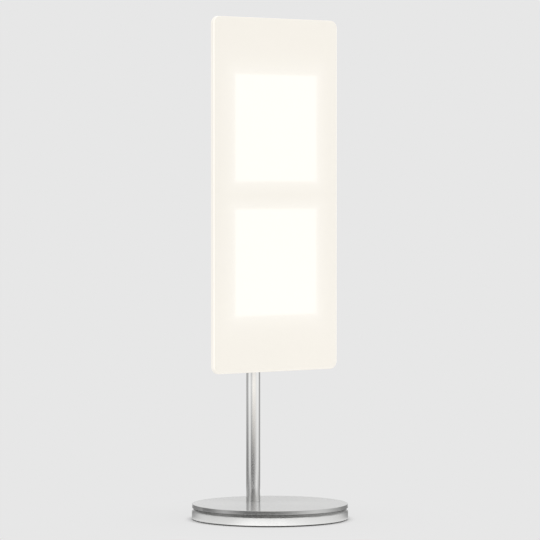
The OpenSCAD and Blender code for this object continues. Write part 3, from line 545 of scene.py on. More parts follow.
def frosted_acrylic(fin, edge):
    """Opal acrylic with a satin surface over two lit tiles. The tiles show as crisp squares with a short halo,
    and light that travels inside the sheet leaves it at the cut edges as a bright line, with a painted highlight
    added where that line meets the arrises."""
    name = "Acrylic, opal, polished edge" if edge else "Acrylic, opal, satin face"
    material, tree, shader, place = surface(name, fin.frost, 0.3 if edge else 0.42, IOR=1.49)
    low, high = span("diffuser")
    x, y, z = node(tree, "ShaderNodeSeparateXYZ", {0: place}).outputs
    # Light of the whole sheet, with clouds 111 mm wide that change it by 3 %
    cloud = node(tree, "ShaderNodeTexNoise", {"Vector": place, "Scale": 1 / (111 * MM), "Detail": 1.0})
    ends = {"To Min": fin.glow_base * 0.97, "To Max": fin.glow_base * 1.03}
    level = node(tree, "ShaderNodeMapRange", {"Value": cloud, **ends})
    # The glow grows a little towards the lower end, and a faint painted highlight runs along the lower edge
    for reach, most in ((120 * MM, 0.022), (2.2 * MM, 0.03)):
        ends = {"From Min": low.z + 0.6 * MM, "From Max": low.z + reach, "To Min": most, "To Max": 0.0}
        more = node(tree, "ShaderNodeMapRange", {"Value": z, **ends})
        level = node(tree, "ShaderNodeMath", {0: level, 1: more}, operation="ADD")
    # The halo round the squares
    extra = distance = square_distance(tree, place)
    for operation, by in (("MULTIPLY", -1 / fin.halo_reach), ("EXPONENT", 0.0), ("MULTIPLY", fin.glow_halo)):
        extra = node(tree, "ShaderNodeMath", {0: extra, 1: by}, operation=operation)
    if edge:
        # The long sides glow brighter, and most at their arrises, where the extra light is a painted highlight
        depth = node(tree, "ShaderNodeMath", {0: y, 1: (low.y + high.y) / 2}, operation="SUBTRACT")
        depth = node(tree, "ShaderNodeMath", {0: depth}, operation="ABSOLUTE")
        thick = high.y - low.y
        ends = {"From Min": thick * 0.34, "From Max": thick * 0.46, "To Min": 0.06, "To Max": 0.22}
        edge_glow_and_arris_highlight = node(tree, "ShaderNodeMapRange", {"Value": depth, **ends})
        out = node(tree, "ShaderNodeMath", {0: x}, operation="ABSOLUTE")
        ends = {"From Min": high.x - 3 * MM, "From Max": high.x - 0.8 * MM}
        side = node(tree, "ShaderNodeMapRange", {"Value": out, **ends})
        more = node(tree, "ShaderNodeMath", {0: edge_glow_and_arris_highlight, 1: side}, operation="MULTIPLY")
        level = node(tree, "ShaderNodeMath", {0: level, 1: more}, operation="ADD")
    else:
        # The squares show on the front face alone, with an edge 2.2 mm soft
        ends = {"From Min": low.y + 0.2 * MM, "From Max": low.y + 0.8 * MM, "To Min": 1.0, "To Max": 0.0}
        front = node(tree, "ShaderNodeMapRange", {"Value": y, **ends})
        ends = {"From Min": 0.0, "From Max": 2.2 * MM, "To Min": fin.glow_square, "To Max": 0.0}
        lit = node(tree, "ShaderNodeMapRange", {"Value": distance, **ends}, interpolation_type="SMOOTHSTEP")
        more = node(tree, "ShaderNodeMath", {0: lit, 1: front}, operation="MULTIPLY")
        extra = node(tree, "ShaderNodeMath", {0: extra, 1: more}, operation="ADD")
    spread = node(tree, "ShaderNodeVectorMath", {0: fin.glow, "Scale": level}, operation="SCALE")
    square = node(tree, "ShaderNodeVectorMath", {0: fin.lit, "Scale": extra}, operation="SCALE")
    light = node(tree, "ShaderNodeVectorMath", {0: spread, 1: square}, operation="ADD")
    # Satin grain 0.4 mm wide, coarser than the real one
    grain = node(tree, "ShaderNodeTexNoise", {"Vector": place, "Scale": 1 / (0.4 * MM), "Detail": 2.0})
    bump = node(tree, "ShaderNodeBump", {"Height": grain, "Distance": 0.004 * MM})
    feed(tree, shader, {"Emission Color": light, "Emission Strength": 1.0, "Normal": bump})
    return material


def lit_tile(fin):
    """A flat light tile: even white light from a glass-smooth face, with clouds 71 mm wide that change it by
    3 %."""
    material, tree, shader, place = surface("Light tile, lit glass", fin.lit, 0.08, IOR=1.52)
    cloud = node(tree, "ShaderNodeTexNoise", {"Vector": place, "Scale": 1 / (71.4 * MM), "Detail": 1.0})
    level = node(tree, "ShaderNodeMapRange", {"Value": cloud, "To Min": 0.97, "To Max": 1.03})
    feed(tree, shader, {"Emission Strength": level, "Emission Color": (*fin.lit, 1)})
    return material


def board_lacquer():
    """Glass fibre board under green solder lacquer: glossy, with tracks a little raised under it."""
    base, roughness = linear("#2E6A45"), 0.3
    material, tree, shader, place = surface("Glass fibre board, green lacquer", base, roughness, IOR=1.5)
    worn(tree, shader, place, base, roughness, patch=8.33 * MM, spread=0.08, rough_spread=0.05)
    track_pitch = 2 * MM
    tracks = node(tree, "ShaderNodeTexVoronoi", {"Vector": place, "Scale": 1 / track_pitch}, distance="MANHATTAN")
    raised = {"Height": tracks, "Distance": 0.03 * MM, "Strength": 0.5}
    feed(tree, shader, {"Normal": node(tree, "ShaderNodeBump", raised)})
    return material


def slot_materials(fin):
    """One finished material for each slot of the record."""
    # Blasted ones give name, colour, roughness, metallic, grit's width and depth. Moulded ones give name, colour,
    # roughness, refraction, and a grain of their own where the usual one doesn't do
    return {
        "satin_steel": turned_steel("Stainless steel, turned satin", fin.steel),
        "stem_steel": polished_tube("Stainless steel, polished tube", fin.stem),
        # Small bright parts with a slightly blurred, bluish shine
        "fastener": blasted("Steel, bright zinc plate", fin.zinc, 0.28, 1.0, 1.2 * MM, 0.004 * MM),
        "frosted_acrylic": frosted_acrylic(fin, False),
        "lit_tile": lit_tile(fin),
        # A fine orange peel that breaks the gloss of the white
        "white_powder": blasted("Steel, white powder coat", fin.powder, 0.5, 0.0, 0.5 * MM, 0.03 * MM, IOR=1.5),
        # An even grey glow without clear reflections
        "anodised": blasted("Aluminium, bead-blasted anodised", fin.anodised, 0.42, 1.0, 0.25 * MM, 0.012 * MM),
        # Duller and greyer, as it comes from the mill
        "bare_aluminium": blasted("Aluminium, mill sheet", linear("#BFC1C4"), 0.35, 1.0, 0.8 * MM, 0.006 * MM),
        # Almost black, and matt enough to read as a shadow under the base
        "black_rubber": moulded("Rubber, moulded", fin.rubber, 0.7, 1.52),
        # Waxy white
        "acetal": moulded("Acetal, turned", linear("#E6E4DC"), 0.4, 1.48),
        # Plain off-white with a dull shine
        "white_plastic": moulded("Nylon, moulded", linear("#E4E3DE"), 0.45, 1.53),
        # Black, greyed a little by the glass in it
        "black_plastic": moulded("Glass-filled nylon, moulded", linear("#2B2B2E"), 0.5, 1.53),
        "board": board_lacquer(),
        # Open cells, with no shine at all
        "foam": moulded("Foam strip, cut", linear("#3A3A3C"), 0.95, 1.4, 0.9 * MM, 0.15 * MM),
        # Shiny amber tape
        "amber_film": moulded("Polyimide film", linear("#C98A3A"), 0.25, 1.6),
        # Yellow glint in the inlet
        "contact_brass": blasted("Brass, plated", linear("#D9BC6C"), 0.22, 1.0, 1.5 * MM, 0.003 * MM),
    }


MATERIALS = {}


def made_of(slot):
    """The finished material for a slot of the record. All are made when the first is asked for."""
    if not MATERIALS:
        MATERIALS.update(slot_materials(bpy.context.scene.lamp_finishes))
    return MATERIALS[slot]


# ---------------------------------------------------------------- pieces


class LAMP_OT_kept_parts(bpy.types.Operator):
    """Gives every part of the frame the finished material of its slot"""

    bl_idname = "lamp.kept_parts"
    bl_label = "Frame parts"

    def execute(self, context):
        slots = {part["node"]: part["material_slot"] for part in frame["record"]["subparts"]}
        for name, obj in frame["nodes"].items():
            if not obj.material_slots:
                obj.data.materials.append(None)
            for place in obj.material_slots:
                place.material = made_of(slots[name])
        return {"FINISHED"}


class LAMP_OT_panel(bpy.types.Operator):
    """Builds the frosted panel with its rounded edges and tile pockets"""

    bl_idname = "lamp.panel"
    bl_label = "Frosted panel"

    def execute(self, context):
        sizes = context.scene.lamp_sizes
        low, high = span("diffuser")
        r, corner = sizes.panel_round, sizes.panel_corner
        path = rounded([(r * 2, low.y), (0, low.y), (0, high.y), (r * 2, high.y)], [0, r, r, 0], 4, False)
        panel = shown("frosted_panel", slab(low, high, corner, path))
        fit, pocket_corner = 0.15 * MM, 0.65 * MM
        pockets = []
        for tile in ("upper_tile", "lower_tile"):
            a, b = span(tile)
            pocket = slab(a, b, pocket_corner, [(-fit, a.y), (-fit, high.y + MM)], 3)
            pockets.append(shown("pocket", pocket))
        combined(panel, pockets)
        finished(panel, "lamp", ["diffuser"], "frosted_acrylic", 40)

        width, height, middle = high.x - low.x, high.z - low.z, mid_z("diffuser")

        def on_edge(face):
            """The rounded rim and the sides. The walls of the pockets lie further in."""
            c = face.center
            rim = min(width / 2 - abs(c.x), height / 2 - abs(c.z - middle))
            return rim < r * 1.2 or (abs(face.normal.y) < FLAT and rim < corner)

        partly(panel, frosted_acrylic(context.scene.lamp_finishes, True), on_edge)
        return {"FINISHED"}


class LAMP_OT_base(bpy.types.Operator):
    """Turns the top plate, the foot disc with the inlet's opening, and the rubber ring"""

    bl_idname = "lamp.base"
    bl_label = "Base discs"

    # Foot disc's section as (radius, height, rounding) in mm, up its bore and round to it again
    DISC = (
        (7.05, 4.7, 0), (7.05, 6.9, 0), (12, 6.9, 0), (12, 5.6, 0), (42, 5.6, 0),  # hub and recess
        (42, 8.2, 0.1), (45.85, 8.2, 0.1), (45.85, 7.0, 0), (54.15, 7.0, 0), (54.15, 8.2, 0.1),  # glide ring's groove
        (64.9, 8.2, 0.08), (64.4, 7.7, 0), (66, 6.1, 0.1), (66, 0, 0.25),  # lower half of the V groove, and wall
        (62.15, 0, 0.1), (62.15, 1, 0), (56.85, 1, 0), (56.85, 0, 0),  # rubber ring's groove
        (52, 0, 0), (52, 1, 0), (49.5, 1, 0), (49.5, 4, 0), (11.57, 4, 0), (11.57, 4.7, 0),  # cover's seat and pocket
    )

    def execute(self, context):
        sizes = context.scene.lamp_sizes
        self.top_plate(sizes, context.scene.lamp_finishes)
        self.foot_disc(sizes)
        self.rubber_ring(sizes)
        return {"FINISHED"}

    @staticmethod
    def top_plate(sizes, fin):
        low, high = span("top_plate")
        apex = span("foot_disc")[1].z - 0.5 * MM  # height of the V groove's deepest line
        small = 0.08 * MM
        path = [
            (0, low.z),
            (high.x - sizes.groove + low.z - apex, low.z),
            (high.x, apex + sizes.groove),
            (high.x - sizes.rim_lean, high.z),
            (0, high.z),
        ]
        profile = rounded(path, [0, small, small, sizes.edge_round, 0], 5, False)
        plate = shown("top_plate_turned", turned(profile, sizes.round_steps))
        finished(plate, "lamp", ["top_plate"], "satin_steel", 25)
        ground = turned_steel("Stainless steel, ground face", fin.plate, 0.72)
        partly(plate, ground, lambda face: face.normal.z > FLAT)

    def foot_disc(self, sizes):
        bottom = span("foot_disc")[0].z
        section = [(r * MM, bottom + z * MM) for r, z, _ in self.DISC]
        outline = rounded(section, [rounding * MM for *_, rounding in self.DISC], 3)
        disc = shown("foot_disc_turned", turned(outline, sizes.round_steps, True))
        # The opening starts inside the pocket and flares by 1 mm through the wall's outside
        stations = [(50 * MM, 0), (65.6 * MM, 0), (66.2 * MM, MM)]
        opening = flat_plug(sizes.inlet_width, sizes.inlet_height, mid_z("power_inlet"), stations)
        combined(disc, [shown("opening", opening)])
        finished(disc, "foot", ["foot_disc"], "satin_steel", 25)

    @staticmethod
    def rubber_ring(sizes):
        low, high = span("foot_ring")
        width, foot_round, seat_round = 5 * MM, 0.5 * MM, 0.1 * MM
        inside = high.x - width
        corners = [(inside, low.z), (high.x, low.z), (high.x, high.z), (inside, high.z)]
        outline = rounded(corners, [foot_round, foot_round, seat_round, seat_round], 3)
        ring = shown("rubber_ring", turned(outline, sizes.round_steps, True))
        finished(ring, "foot", ["foot_ring"], "black_rubber")


class LAMP_OT_stem(bpy.types.Operator):
    """Turns the stem and builds the socket that holds it"""

    bl_idname = "lamp.stem"
    bl_label = "Stem and socket"

    def execute(self, context):
        sizes = context.scene.lamp_sizes
        low, high = span("stem_tube")
        foot = span("top_plate")[1].z
        r, y = (high.x - low.x) / 2, (low.y + high.y) / 2
        bore = r - sizes.stem_wall
        foot_round, top_round = 0.15 * MM, 0.3 * MM
        corners = [(bore, foot), (r, foot), (r, high.z), (bore, high.z)]
        bm = turned(rounded(corners, [0, foot_round, top_round, top_round], 3), STEM_STEPS, True)
        bmesh.ops.translate(bm, verts=bm.verts, vec=(0, y, 0))
        finished(shown("stem", bm), "lamp", ["stem_tube"], "stem_steel")

        low, high = span("stem_socket")
        back, step = sizes.socket_radius, low.y + sizes.socket_foot
        points = [(low.x, low.y), (high.x, low.y), (high.x, step), (back, step)]
        points += [*arc(back, 0, math.pi, 24, y=y), (-back, step), (low.x, step)]
        radii = [0.0] * len(points)
        radii[2] = radii[-1] = 0.8 * MM  # the wide foot's rear corners
        outline = rounded(points, radii, 4)
        socket = shown("socket", stacked([[(*p, z) for p in outline] for z in (low.z, high.z)]))
        soften = socket.modifiers.new("Soften", "BEVEL")
        soften.width, soften.segments, soften.limit_method = 0.5 * MM, 3, "ANGLE"
        soften.angle_limit = math.radians(50)
        settled(socket)
        # The bore has 0.05 mm of room round the stem, and flares at its mouth
        wide, snug, top = r + 0.45 * MM, r + 0.05 * MM, low.z + sizes.socket_grip
        bore = plug([(wide, low.z - MM), (snug, low.z + 0.4 * MM), (snug, top)], SEAT_STEPS)
        bmesh.ops.translate(bore, verts=bore.verts, vec=(0, y, 0))
        holes = [shown("bore", bore)]
        thread, mouth = GRUB_RADIUS + 0.02 * MM, 2.6 * MM
        for z in grub_heights():
            side = [(thread, y), (thread, high.y - 0.4 * MM), (mouth, high.y + PAST)]
            holes.append(shown("hole", along_y(plug(side, GRUB_STEPS), 0, z)))
        combined(socket, holes)
        finished(socket, "lamp", ["stem_socket"], "anodised", 35)
        return {"FINISHED"}


class LAMP_OT_housing(bpy.types.Operator):
    """Builds the rear housing with its vents, bosses and openings, and the back plate"""

    bl_idname = "lamp.housing"
    bl_label = "Rear housing and back plate"

    def execute(self, context):
        sizes = context.scene.lamp_sizes
        self.housing(sizes)
        self.back_plate(sizes)
        return {"FINISHED"}

    @staticmethod
    def housing(sizes):
        low, high = span("rear_housing")
        bevel, wall, front_round, rear_round = sizes.housing_bevel, sizes.housing_wall, 0.3 * MM, 0.8 * MM
        inside = [(wall + MM, high.y - wall), (wall, high.y - wall - MM), (wall, low.y)]
        outside = [(front_round, low.y), (0, low.y + front_round), (0, high.y - bevel), (bevel, high.y)]
        outside = rounded([*outside, (bevel * 2, high.y)], [0, 0, rear_round, rear_round, 0], 4, False)
        shell = shown("rear_housing_milled", slab(low, high, sizes.housing_corner, inside + outside))

        # Bosses for the screws, then the sinks for their heads and the seat of the button's bezel
        boss, sink, flare, seat = 4.4 * MM, 3 * MM, 3.5 * MM, 6.0 * MM
        deep, top = high.y - 2.4 * MM, high.y + PAST
        posts, holes = [], []
        for x, z in screw_spots():
            post = plug([(boss, low.y), (boss, high.y - MM)], SCREW_STEPS)
            posts.append(shown("post", along_y(post, x, z)))
            hole = plug([(sink, deep), (sink, top - 0.5 * MM), (flare, top)], SCREW_STEPS)
            holes.append(shown("sink", along_y(hole, x, z)))
        holes.append(shown("seat", along_y(plug([(seat, 0), (seat, top)], SEAT_STEPS), 0, mid_z("button_bezel"))))
        combined(shell, posts, "UNION")
        combined(shell, holes)

        # Each vent goes through the wall, and its outer edge is broken by 0.3 mm
        stations = [(high.y - wall - PAST, 0), (high.y - 0.3 * MM, 0), (high.y + 0.1 * MM, 0.8 * MM)]
        slot = shown("slot", flat_plug(sizes.vent_length, sizes.vent_width, 0, stations))
        row = sizes.vent_pitch * (sizes.vents - 1)
        values = {
            "Slot": slot,
            "Count": sizes.vents,
            "First": (0, 0, high.z - sizes.vent_drop - row / 2),
            "Pitch": (0, 0, sizes.vent_pitch),
            "Material": made_of("anodised"),
        }
        run(shell, slots_tree(), values)
        bpy.data.objects.remove(slot)
        finished(shell, "lamp", ["rear_housing"], "anodised", 35)

    @staticmethod
    def back_plate(sizes):
        low, high = span("back_plate")
        corner, e, in_from_edge = sizes.panel_corner - 2 * MM, 0.3 * MM, 1.5 * MM
        points = [(in_from_edge, low.y), (0, low.y), (0, high.y), (in_from_edge, high.y)]
        path = rounded(points, [0, e, e, 0], 3, False)
        plate = shown("back_plate_coated", slab(low, high, corner, path))
        finished(plate, "lamp", ["back_plate"], "white_powder")


class LAMP_OT_screws(bpy.types.Operator):
    """Puts the socket-headed screws of the housing, the grub screws and the cover's screws in place"""

    bl_idname = "lamp.screws"
    bl_label = "Screws"

    def execute(self, context):
        self.tree = copies_tree()
        to_back, down = (-math.pi / 2, 0, 0), (math.pi, 0, 0)

        head, shank, length_z = HEAD_HEIGHT, 1.5 * MM, 9 * MM
        side = [(0, -length_z), (shank, -length_z), (shank, 0), (HEAD_RADIUS, 0), (HEAD_RADIUS, head), (0, head)]
        profile = rounded(side, [0, 0, 0, 0.1 * MM, 0.5 * MM, 0], 5, False)
        under_head = span("housing_screws")[1].y - head
        spots = [(x, under_head, z) for x, z in screw_spots()]
        self.place("housing_screws_zinc", profile, (1.15 * MM, 1.1 * MM), spots, to_back, "lamp", "housing_screws")

        low, high = span("grub_screws")
        end, r = high.y - low.y, GRUB_RADIUS
        profile = rounded([(0, 0), (r, 0), (r, end), (0, end)], [0, 0, 0.3 * MM, 0], 3, False)
        spots = [(0, low.y, z) for z in grub_heights()]
        self.place("grub_screws_zinc", profile, (1.1 * MM, 1.6 * MM), spots, to_back, "lamp", "grub_screws")

        low, high = span("cover_screws")
        r, shank, tip, cone, lip = COVER_HEAD_RADIUS, MM, -4 * MM, -0.86 * MM, -0.05 * MM
        out = high.x - r
        profile = [(0, tip), (shank, tip), (shank, cone), (r, lip), (r, 0), (0, 0)]
        spots = [(sx * out, sy * out, low.z) for sx in (-1, 1) for sy in (-1, 1)]
        self.place("cover_screws_zinc", profile, (0.62 * MM, 0.5 * MM), spots, down, "foot", "cover_screws")
        return {"FINISHED"}

    def place(self, name, profile, key, spots, turn, body, nodes):
        """Makes one screw with a six-sided key of (radius, depth), and copies it to its spots."""
        item = shown("screw", turned(profile, SCREW_STEPS))
        radius, depth = key
        top = profile[-1][1]
        hexagon = arc(radius, 0, math.pi * 5 / 3, 5)
        hole = stacked([[(*p, z) for p in hexagon] for z in (top - depth, top + PAST)])
        combined(item, [shown("key", hole)])
        bm = bmesh.new()
        for spot in spots:
            bm.verts.new(spot)
        points = shown(name, bm)
        run(points, self.tree, {"Item": item, "Turn": turn, "Material": made_of("fastener")})
        bpy.data.objects.remove(item)
        finished(points, body, [nodes], "fastener")


class LAMP_OT_button(bpy.types.Operator):
    """Turns the dimmer button and its bezel"""

    bl_idname = "lamp.button"
    bl_label = "Dimmer button"

    def execute(self, context):
        low, high = span("dimmer_button")
        z, r, flange = mid_z("dimmer_button"), 5 * MM, (high.x - low.x) / 2
        # The cap's dome is part of a ball, and spans this angle and height from its middle to its edge
        spread, rise, reach = 0.34, 0.82 * MM, r * 0.98
        dome = [(0, high.y)]
        for a in (0.02, 0.08, 0.14, 0.2, 0.26, 0.32):
            drop = rise * (1 - math.cos(a)) / (1 - math.cos(spread))
            dome.append((reach * math.sin(a) / math.sin(spread), high.y - drop))
        side, ledge = dome[-1][1] - 0.15 * MM, low.y + MM
        path = [*dome, (r, side), (r, ledge), (flange, ledge), (flange, low.y), (0, low.y)]
        radii = [0.0] * len(dome) + [0.12 * MM, 0, 0.1 * MM, 0.1 * MM, 0]
        cap = shown("button_cap", along_y(turned(rounded(path, radii, 3, False), STEM_STEPS), 0, z))
        steel = faced_cap("Stainless steel, faced cap", context.scene.lamp_finishes.steel, z)
        finished(cap, "button", ["dimmer_button"], "satin_steel", 25, steel)

        low, high = span("button_bezel")
        bore, sleeve, lip, wall = 5.1 * MM, 6.0 * MM, (high.x - low.x) / 2, span("rear_housing")[1].y
        path = [(bore, low.y), (sleeve, low.y), (sleeve, wall), (lip, wall), (lip, high.y), (bore, high.y)]
        ring = turned(rounded(path, [0, 0, 0, 0, 0.35 * MM, 0.2 * MM], 4), STEM_STEPS, True)
        finished(shown("bezel", along_y(ring, 0, z)), "lamp", ["button_bezel"], "stem_steel", 35)
        return {"FINISHED"}


# ---------------------------------------------------------------- studio


class LAMP_OT_studio(bpy.types.Operator):
    """Sets up the camera, the pale floor and backdrop, and the soft lamps"""

    bl_idname = "lamp.studio"
    bl_label = "Studio"

    # Area lamps as (name, turn from the camera, distance, height, width, tallness, power)
    SOFTBOXES = (
        ("Key softbox", 56, 1.9, 0.7, 0.9, 1.8, 5.6),
        ("Fill softbox", -60, 1.9, 0.8, 0.9, 1.6, 3.0),
        ("Top softbox", 10, 0.6, 2.2, 1.4, 1.4, 8.0),
        ("Back softbox", 172, 1.9, 0.9, 0.9, 1.6, 8.0),
    )
    # Painted reflections round the lamp, as tones that only gloss sees: (turn, low for the base's rim, for the stem's
    # foot, as high as the panel, warmth)
    ROUND = (
        (-98, 0.28, 0.42, 0.65, 0), (-85, 0.27, 0.5, 1.28, 0), (-76, 0.35, 0.8, 1.3, 0), (-64, 0.59, 1.12, 1.35, 0),
        (-55, 0.7, 0.9, 1.25, 0), (-46, 0.61, 0.45, 1.15, 0), (-37, 0.46, 0.24, 1.0, 0), (-28, 0.26, 0.14, 1.05, 0),
        (-20, 0.25, 0.2, 1.35, 0.5), (-12, 0.24, 0.24, 1.6, 1), (5, 0.26, 0.28, 1.55, 1), (22, 0.55, 0.45, 1.52, 1),
        (39, 0.97, 0.7, 1.36, 0.7), (57, 1.19, 1.0, 1.25, 0), (76, 0.97, 1.15, 1.28, 0), (92, 0.67, 1.05, 1.32, 0),
        (103, 0.58, 0.9, 1.2, 0), (113, 0.4, 0.55, 0.6, 0),
    )
    # Painted reflections behind the lamp, both ways round to the back, as (turn, lower tone, upper tone, warmth)
    LEFT = ((-180, 0.8, 0.8, 0), (-165, 0.8, 0.8, 0), (-152, 0.3, 0.5, 0), (-98, 0.34, 0.6, 0))
    RIGHT = (
        (113, 0.55, 0.6, 0), (126, 0.45, 0.5, 0), (140, 0.36, 0.45, 0), (152, 0.32, 0.45, 0),
        (165, 0.8, 0.8, 0), (180, 0.8, 0.8, 0),
    )
    # Painted reflection straight behind the lamp, as (turn, lower tone, upper tone, warmth)
    REAR = ((150, 0.45, 1.2, 0), (163, 0.82, 1.2, 0), (197, 0.95, 1.2, 0), (210, 0.5, 1.2, 0))
    # A painted reflection of the floor close to the base, as only gloss sees it, with tones of its own: (turn, tone
    # next to the base, tone further out)
    PAINTED_FLOOR_SIDE = (
        (79, 1.3, 1.5), (87, 0.97, 1.45), (93, 0.78, 1.38), (99, 0.48, 1.15), (106, 0.4, 0.86), (114, 0.4, 0.56),
        (121, 0.4, 0.38), (137, 0.42, 0.36), (143, 0.7, 0.58), (152, 1.15, 1.1), (180, 1.3, 1.3),
    )
    PAINTED_FLOOR_FRONT = (
        (-72, 1.45, 1.45), (-40, 1.62, 1.62), (-32, 1.95, 1.95), (-20, 2.25, 2.25), (10, 2.25, 2.25),
        (24, 1.95, 1.95), (40, 1.72, 1.72), (60, 1.6, 1.6),
    )

    def execute(self, context):
        st = context.scene.lamp_studio
        self.camera(context, st)
        self.world(context, st)
        self.floor(st)
        for softbox in self.SOFTBOXES:
            self.softbox(st, *softbox)
        self.painted_reflection_cards(st)
        context.scene.view_settings.view_transform = "Standard"
        return {"FINISHED"}

    @staticmethod
    def around(st, turn, distance, height=0.0):
        """A place at an angle from the camera's bearing, as seen from the lamp, to the picture's right."""
        a = st.bearing + math.radians(turn)
        return Vector((math.sin(a) * distance, -math.cos(a) * distance, height))

    @staticmethod
    def aim(obj, look):
        """Turns a camera or a lamp to look along a direction."""
        obj.rotation_mode = "QUATERNION"
        obj.rotation_quaternion = look.to_track_quat("-Z", "Y")

    def camera(self, context, st):
        data = bpy.data.cameras.new("Camera")
        data.lens, data.sensor_width = st.lens, 36.0
        data.clip_start, data.clip_end = 0.05, 60.0
        cam = bpy.data.objects.new("Camera", data)
        context.scene.collection.objects.link(cam)
        cam.location = self.around(st, 0, st.distance, st.height)
        look = -Vector((cam.location.x, cam.location.y, 0)).normalized() * math.cos(st.pitch)
        look.z = -math.sin(st.pitch)
        self.aim(cam, look)
        context.scene.camera = cam

    @staticmethod
    def seen_directly(tree):
        """1 for rays from the camera, from gloss and through glass, 0 for rays that light the object."""
        path = node(tree, "ShaderNodeLightPath").outputs
        seen = path["Is Camera Ray"]
        for kind in ("Is Glossy Ray", "Is Transmission Ray"):
            seen = node(tree, "ShaderNodeMath", {0: seen, 1: path[kind]}, operation="MAXIMUM")
        return seen

    def world(self, context, st):
        world = bpy.data.worlds.new("Pale room")
        context.scene.world = world
        world.use_nodes = True
        tree = world.node_tree
        tree.nodes.clear()
        light = node(tree, "ShaderNodeBackground", {"Color": (1, 1, 1, 1), "Strength": st.ambient})
        seen = node(tree, "ShaderNodeBackground", {"Color": (*st.backdrop, 1), "Strength": 1.0})
        mix = node(tree, "ShaderNodeMixShader", {0: self.seen_directly(tree), 1: light, 2: seen})
        node(tree, "ShaderNodeOutputWorld", {"Surface": mix})

    def floor(self, st):
        """A pale disc that shows plain, with the object's shadow close to the base only."""
        radius, drop = 14.0, 0.02 * MM
        bm = bmesh.new()
        bmesh.ops.create_circle(bm, cap_ends=True, radius=radius, segments=64)
        bmesh.ops.translate(bm, verts=bm.verts, vec=(0, 0, -drop))
        floor = shown("floor", bm)
        material, tree, out = bare("Floor, pale matt board")
        material.cycles.emission_sampling = "NONE"
        matt = node(tree, "ShaderNodeBsdfDiffuse", {"Color": (*(st.floor_tone,) * 3, 1)})
        plain = node(tree, "ShaderNodeEmission", {"Color": (*st.backdrop, 1), "Strength": 1.0})
        place = node(tree, "ShaderNodeTexCoord").outputs["Object"]
        away = node(tree, "ShaderNodeVectorMath", {0: place}, operation="LENGTH").outputs["Value"]
        # Dense close to the base's edge, 66 mm out, and faint further away
        parts = []
        for start, end, most in ((0.0655, 0.0735, st.shadow), (0.066, 0.17, st.shadow / 6)):
            fade = {"Value": away, "From Min": start, "From Max": end, "To Min": most, "To Max": 0.0}
            parts.append(node(tree, "ShaderNodeMapRange", fade, interpolation_type="SMOOTHSTEP"))
        share = node(tree, "ShaderNodeMath", {0: parts[0], 1: parts[1]}, operation="ADD")
        seen = node(tree, "ShaderNodeMixShader", {0: share, 1: plain, 2: matt})
        mix = node(tree, "ShaderNodeMixShader", {0: self.seen_directly(tree), 1: matt, 2: seen})
        feed(tree, out, {"Surface": mix})
        floor.data.materials.append(material)

    def softbox(self, st, name, turn, distance, height, width, tall, power):
        """A large soft lamp, turned to the lamp's middle. Its likeness in gloss comes from a card."""
        data = bpy.data.lights.new(name, "AREA")
        data.shape, data.size, data.size_y, data.energy = "RECTANGLE", width, tall, power
        lamp = bpy.data.objects.new(name, data)
        bpy.context.scene.collection.objects.link(lamp)
        lamp.location = self.around(st, turn, distance, height)
        middle = Vector((0, 0, 0.15))
        self.aim(lamp, middle - lamp.location)
        lamp.visible_camera = lamp.visible_glossy = False

    def painted_reflection_card(self, st, name, stops, rows):
        """A curved sheet that only shows in gloss: a painted reflection that lights nothing and casts no shade, and
        whose tones give the metal its light and dark streaks. Stops are (turn, lower tone, upper tone, warmth), rows
        are (distance, height, share of the upper tone)."""
        step = 4  # degrees between two columns
        less_green, less_blue = 0.035, 0.08  # what a fully warm tone loses
        bm = bmesh.new()
        tone = bm.verts.layers.float_color.new("tone")
        columns = []
        for a, b in zip(stops, stops[1:]):
            count = max(1, round((b[0] - a[0]) / step))
            columns += [[p + (q - p) * i / count for p, q in zip(a, b)] for i in range(count)]
        grid = []
        for turn, under, over, warmth in (*columns, stops[-1]):
            line = []
            for distance, height, share in rows:
                vert = bm.verts.new(self.around(st, turn, distance, height))
                level = under + (over - under) * share
                warm = warmth * share
                vert[tone] = (level, level * (1 - less_green * warm), level * (1 - less_blue * warm), 1)
                line.append(vert)
            grid.append(line)
        for a, b in zip(grid, grid[1:]):
            for i in range(len(rows) - 1):
                bm.faces.new((a[i], b[i], b[i + 1], a[i + 1]))
        painted_reflection_card = shown(name, bm)
        material, tree, out = bare(name)
        material.cycles.emission_sampling = "NONE"  # gloss finds a card by itself, and nothing else sees it
        tones = node(tree, "ShaderNodeAttribute", attribute_name="tone")
        # The sheet shines with tones of its own: a painted reflection that only gloss sees
        painted_reflection_light = node(tree, "ShaderNodeEmission", {"Color": tones, "Strength": 1.0})
        feed(tree, out, {"Surface": painted_reflection_light})
        painted_reflection_card.data.materials.append(material)
        painted_reflection_card.visible_camera = painted_reflection_card.visible_diffuse = painted_reflection_card.visible_shadow = False
        painted_reflection_card.visible_transmission = painted_reflection_card.visible_volume_scatter = False

    def painted_reflection_cards(self, st):
        near, low, far = 0.165, 0.27, 0.6  # distances of the rings of cards from the lamp's axis
        rim, high = [(*s[:3], s[4]) for s in self.ROUND], [(s[0], *s[2:]) for s in self.ROUND]
        self.painted_reflection_card(st, "Card rim", rim, [(near, 0, 0), (near, 0.015, 0), (near, 0.021, 1)])
        rows = ((0.021, 0), (0.028, 0), (0.106, 1), (0.117, 0.6), (0.14, 0.6))
        self.painted_reflection_card(st, "Card near", high, [(near, *row) for row in rows])
        self.painted_reflection_card(st, "Card far", high, [(far, 0, 1), (far, 1.0, 1)])
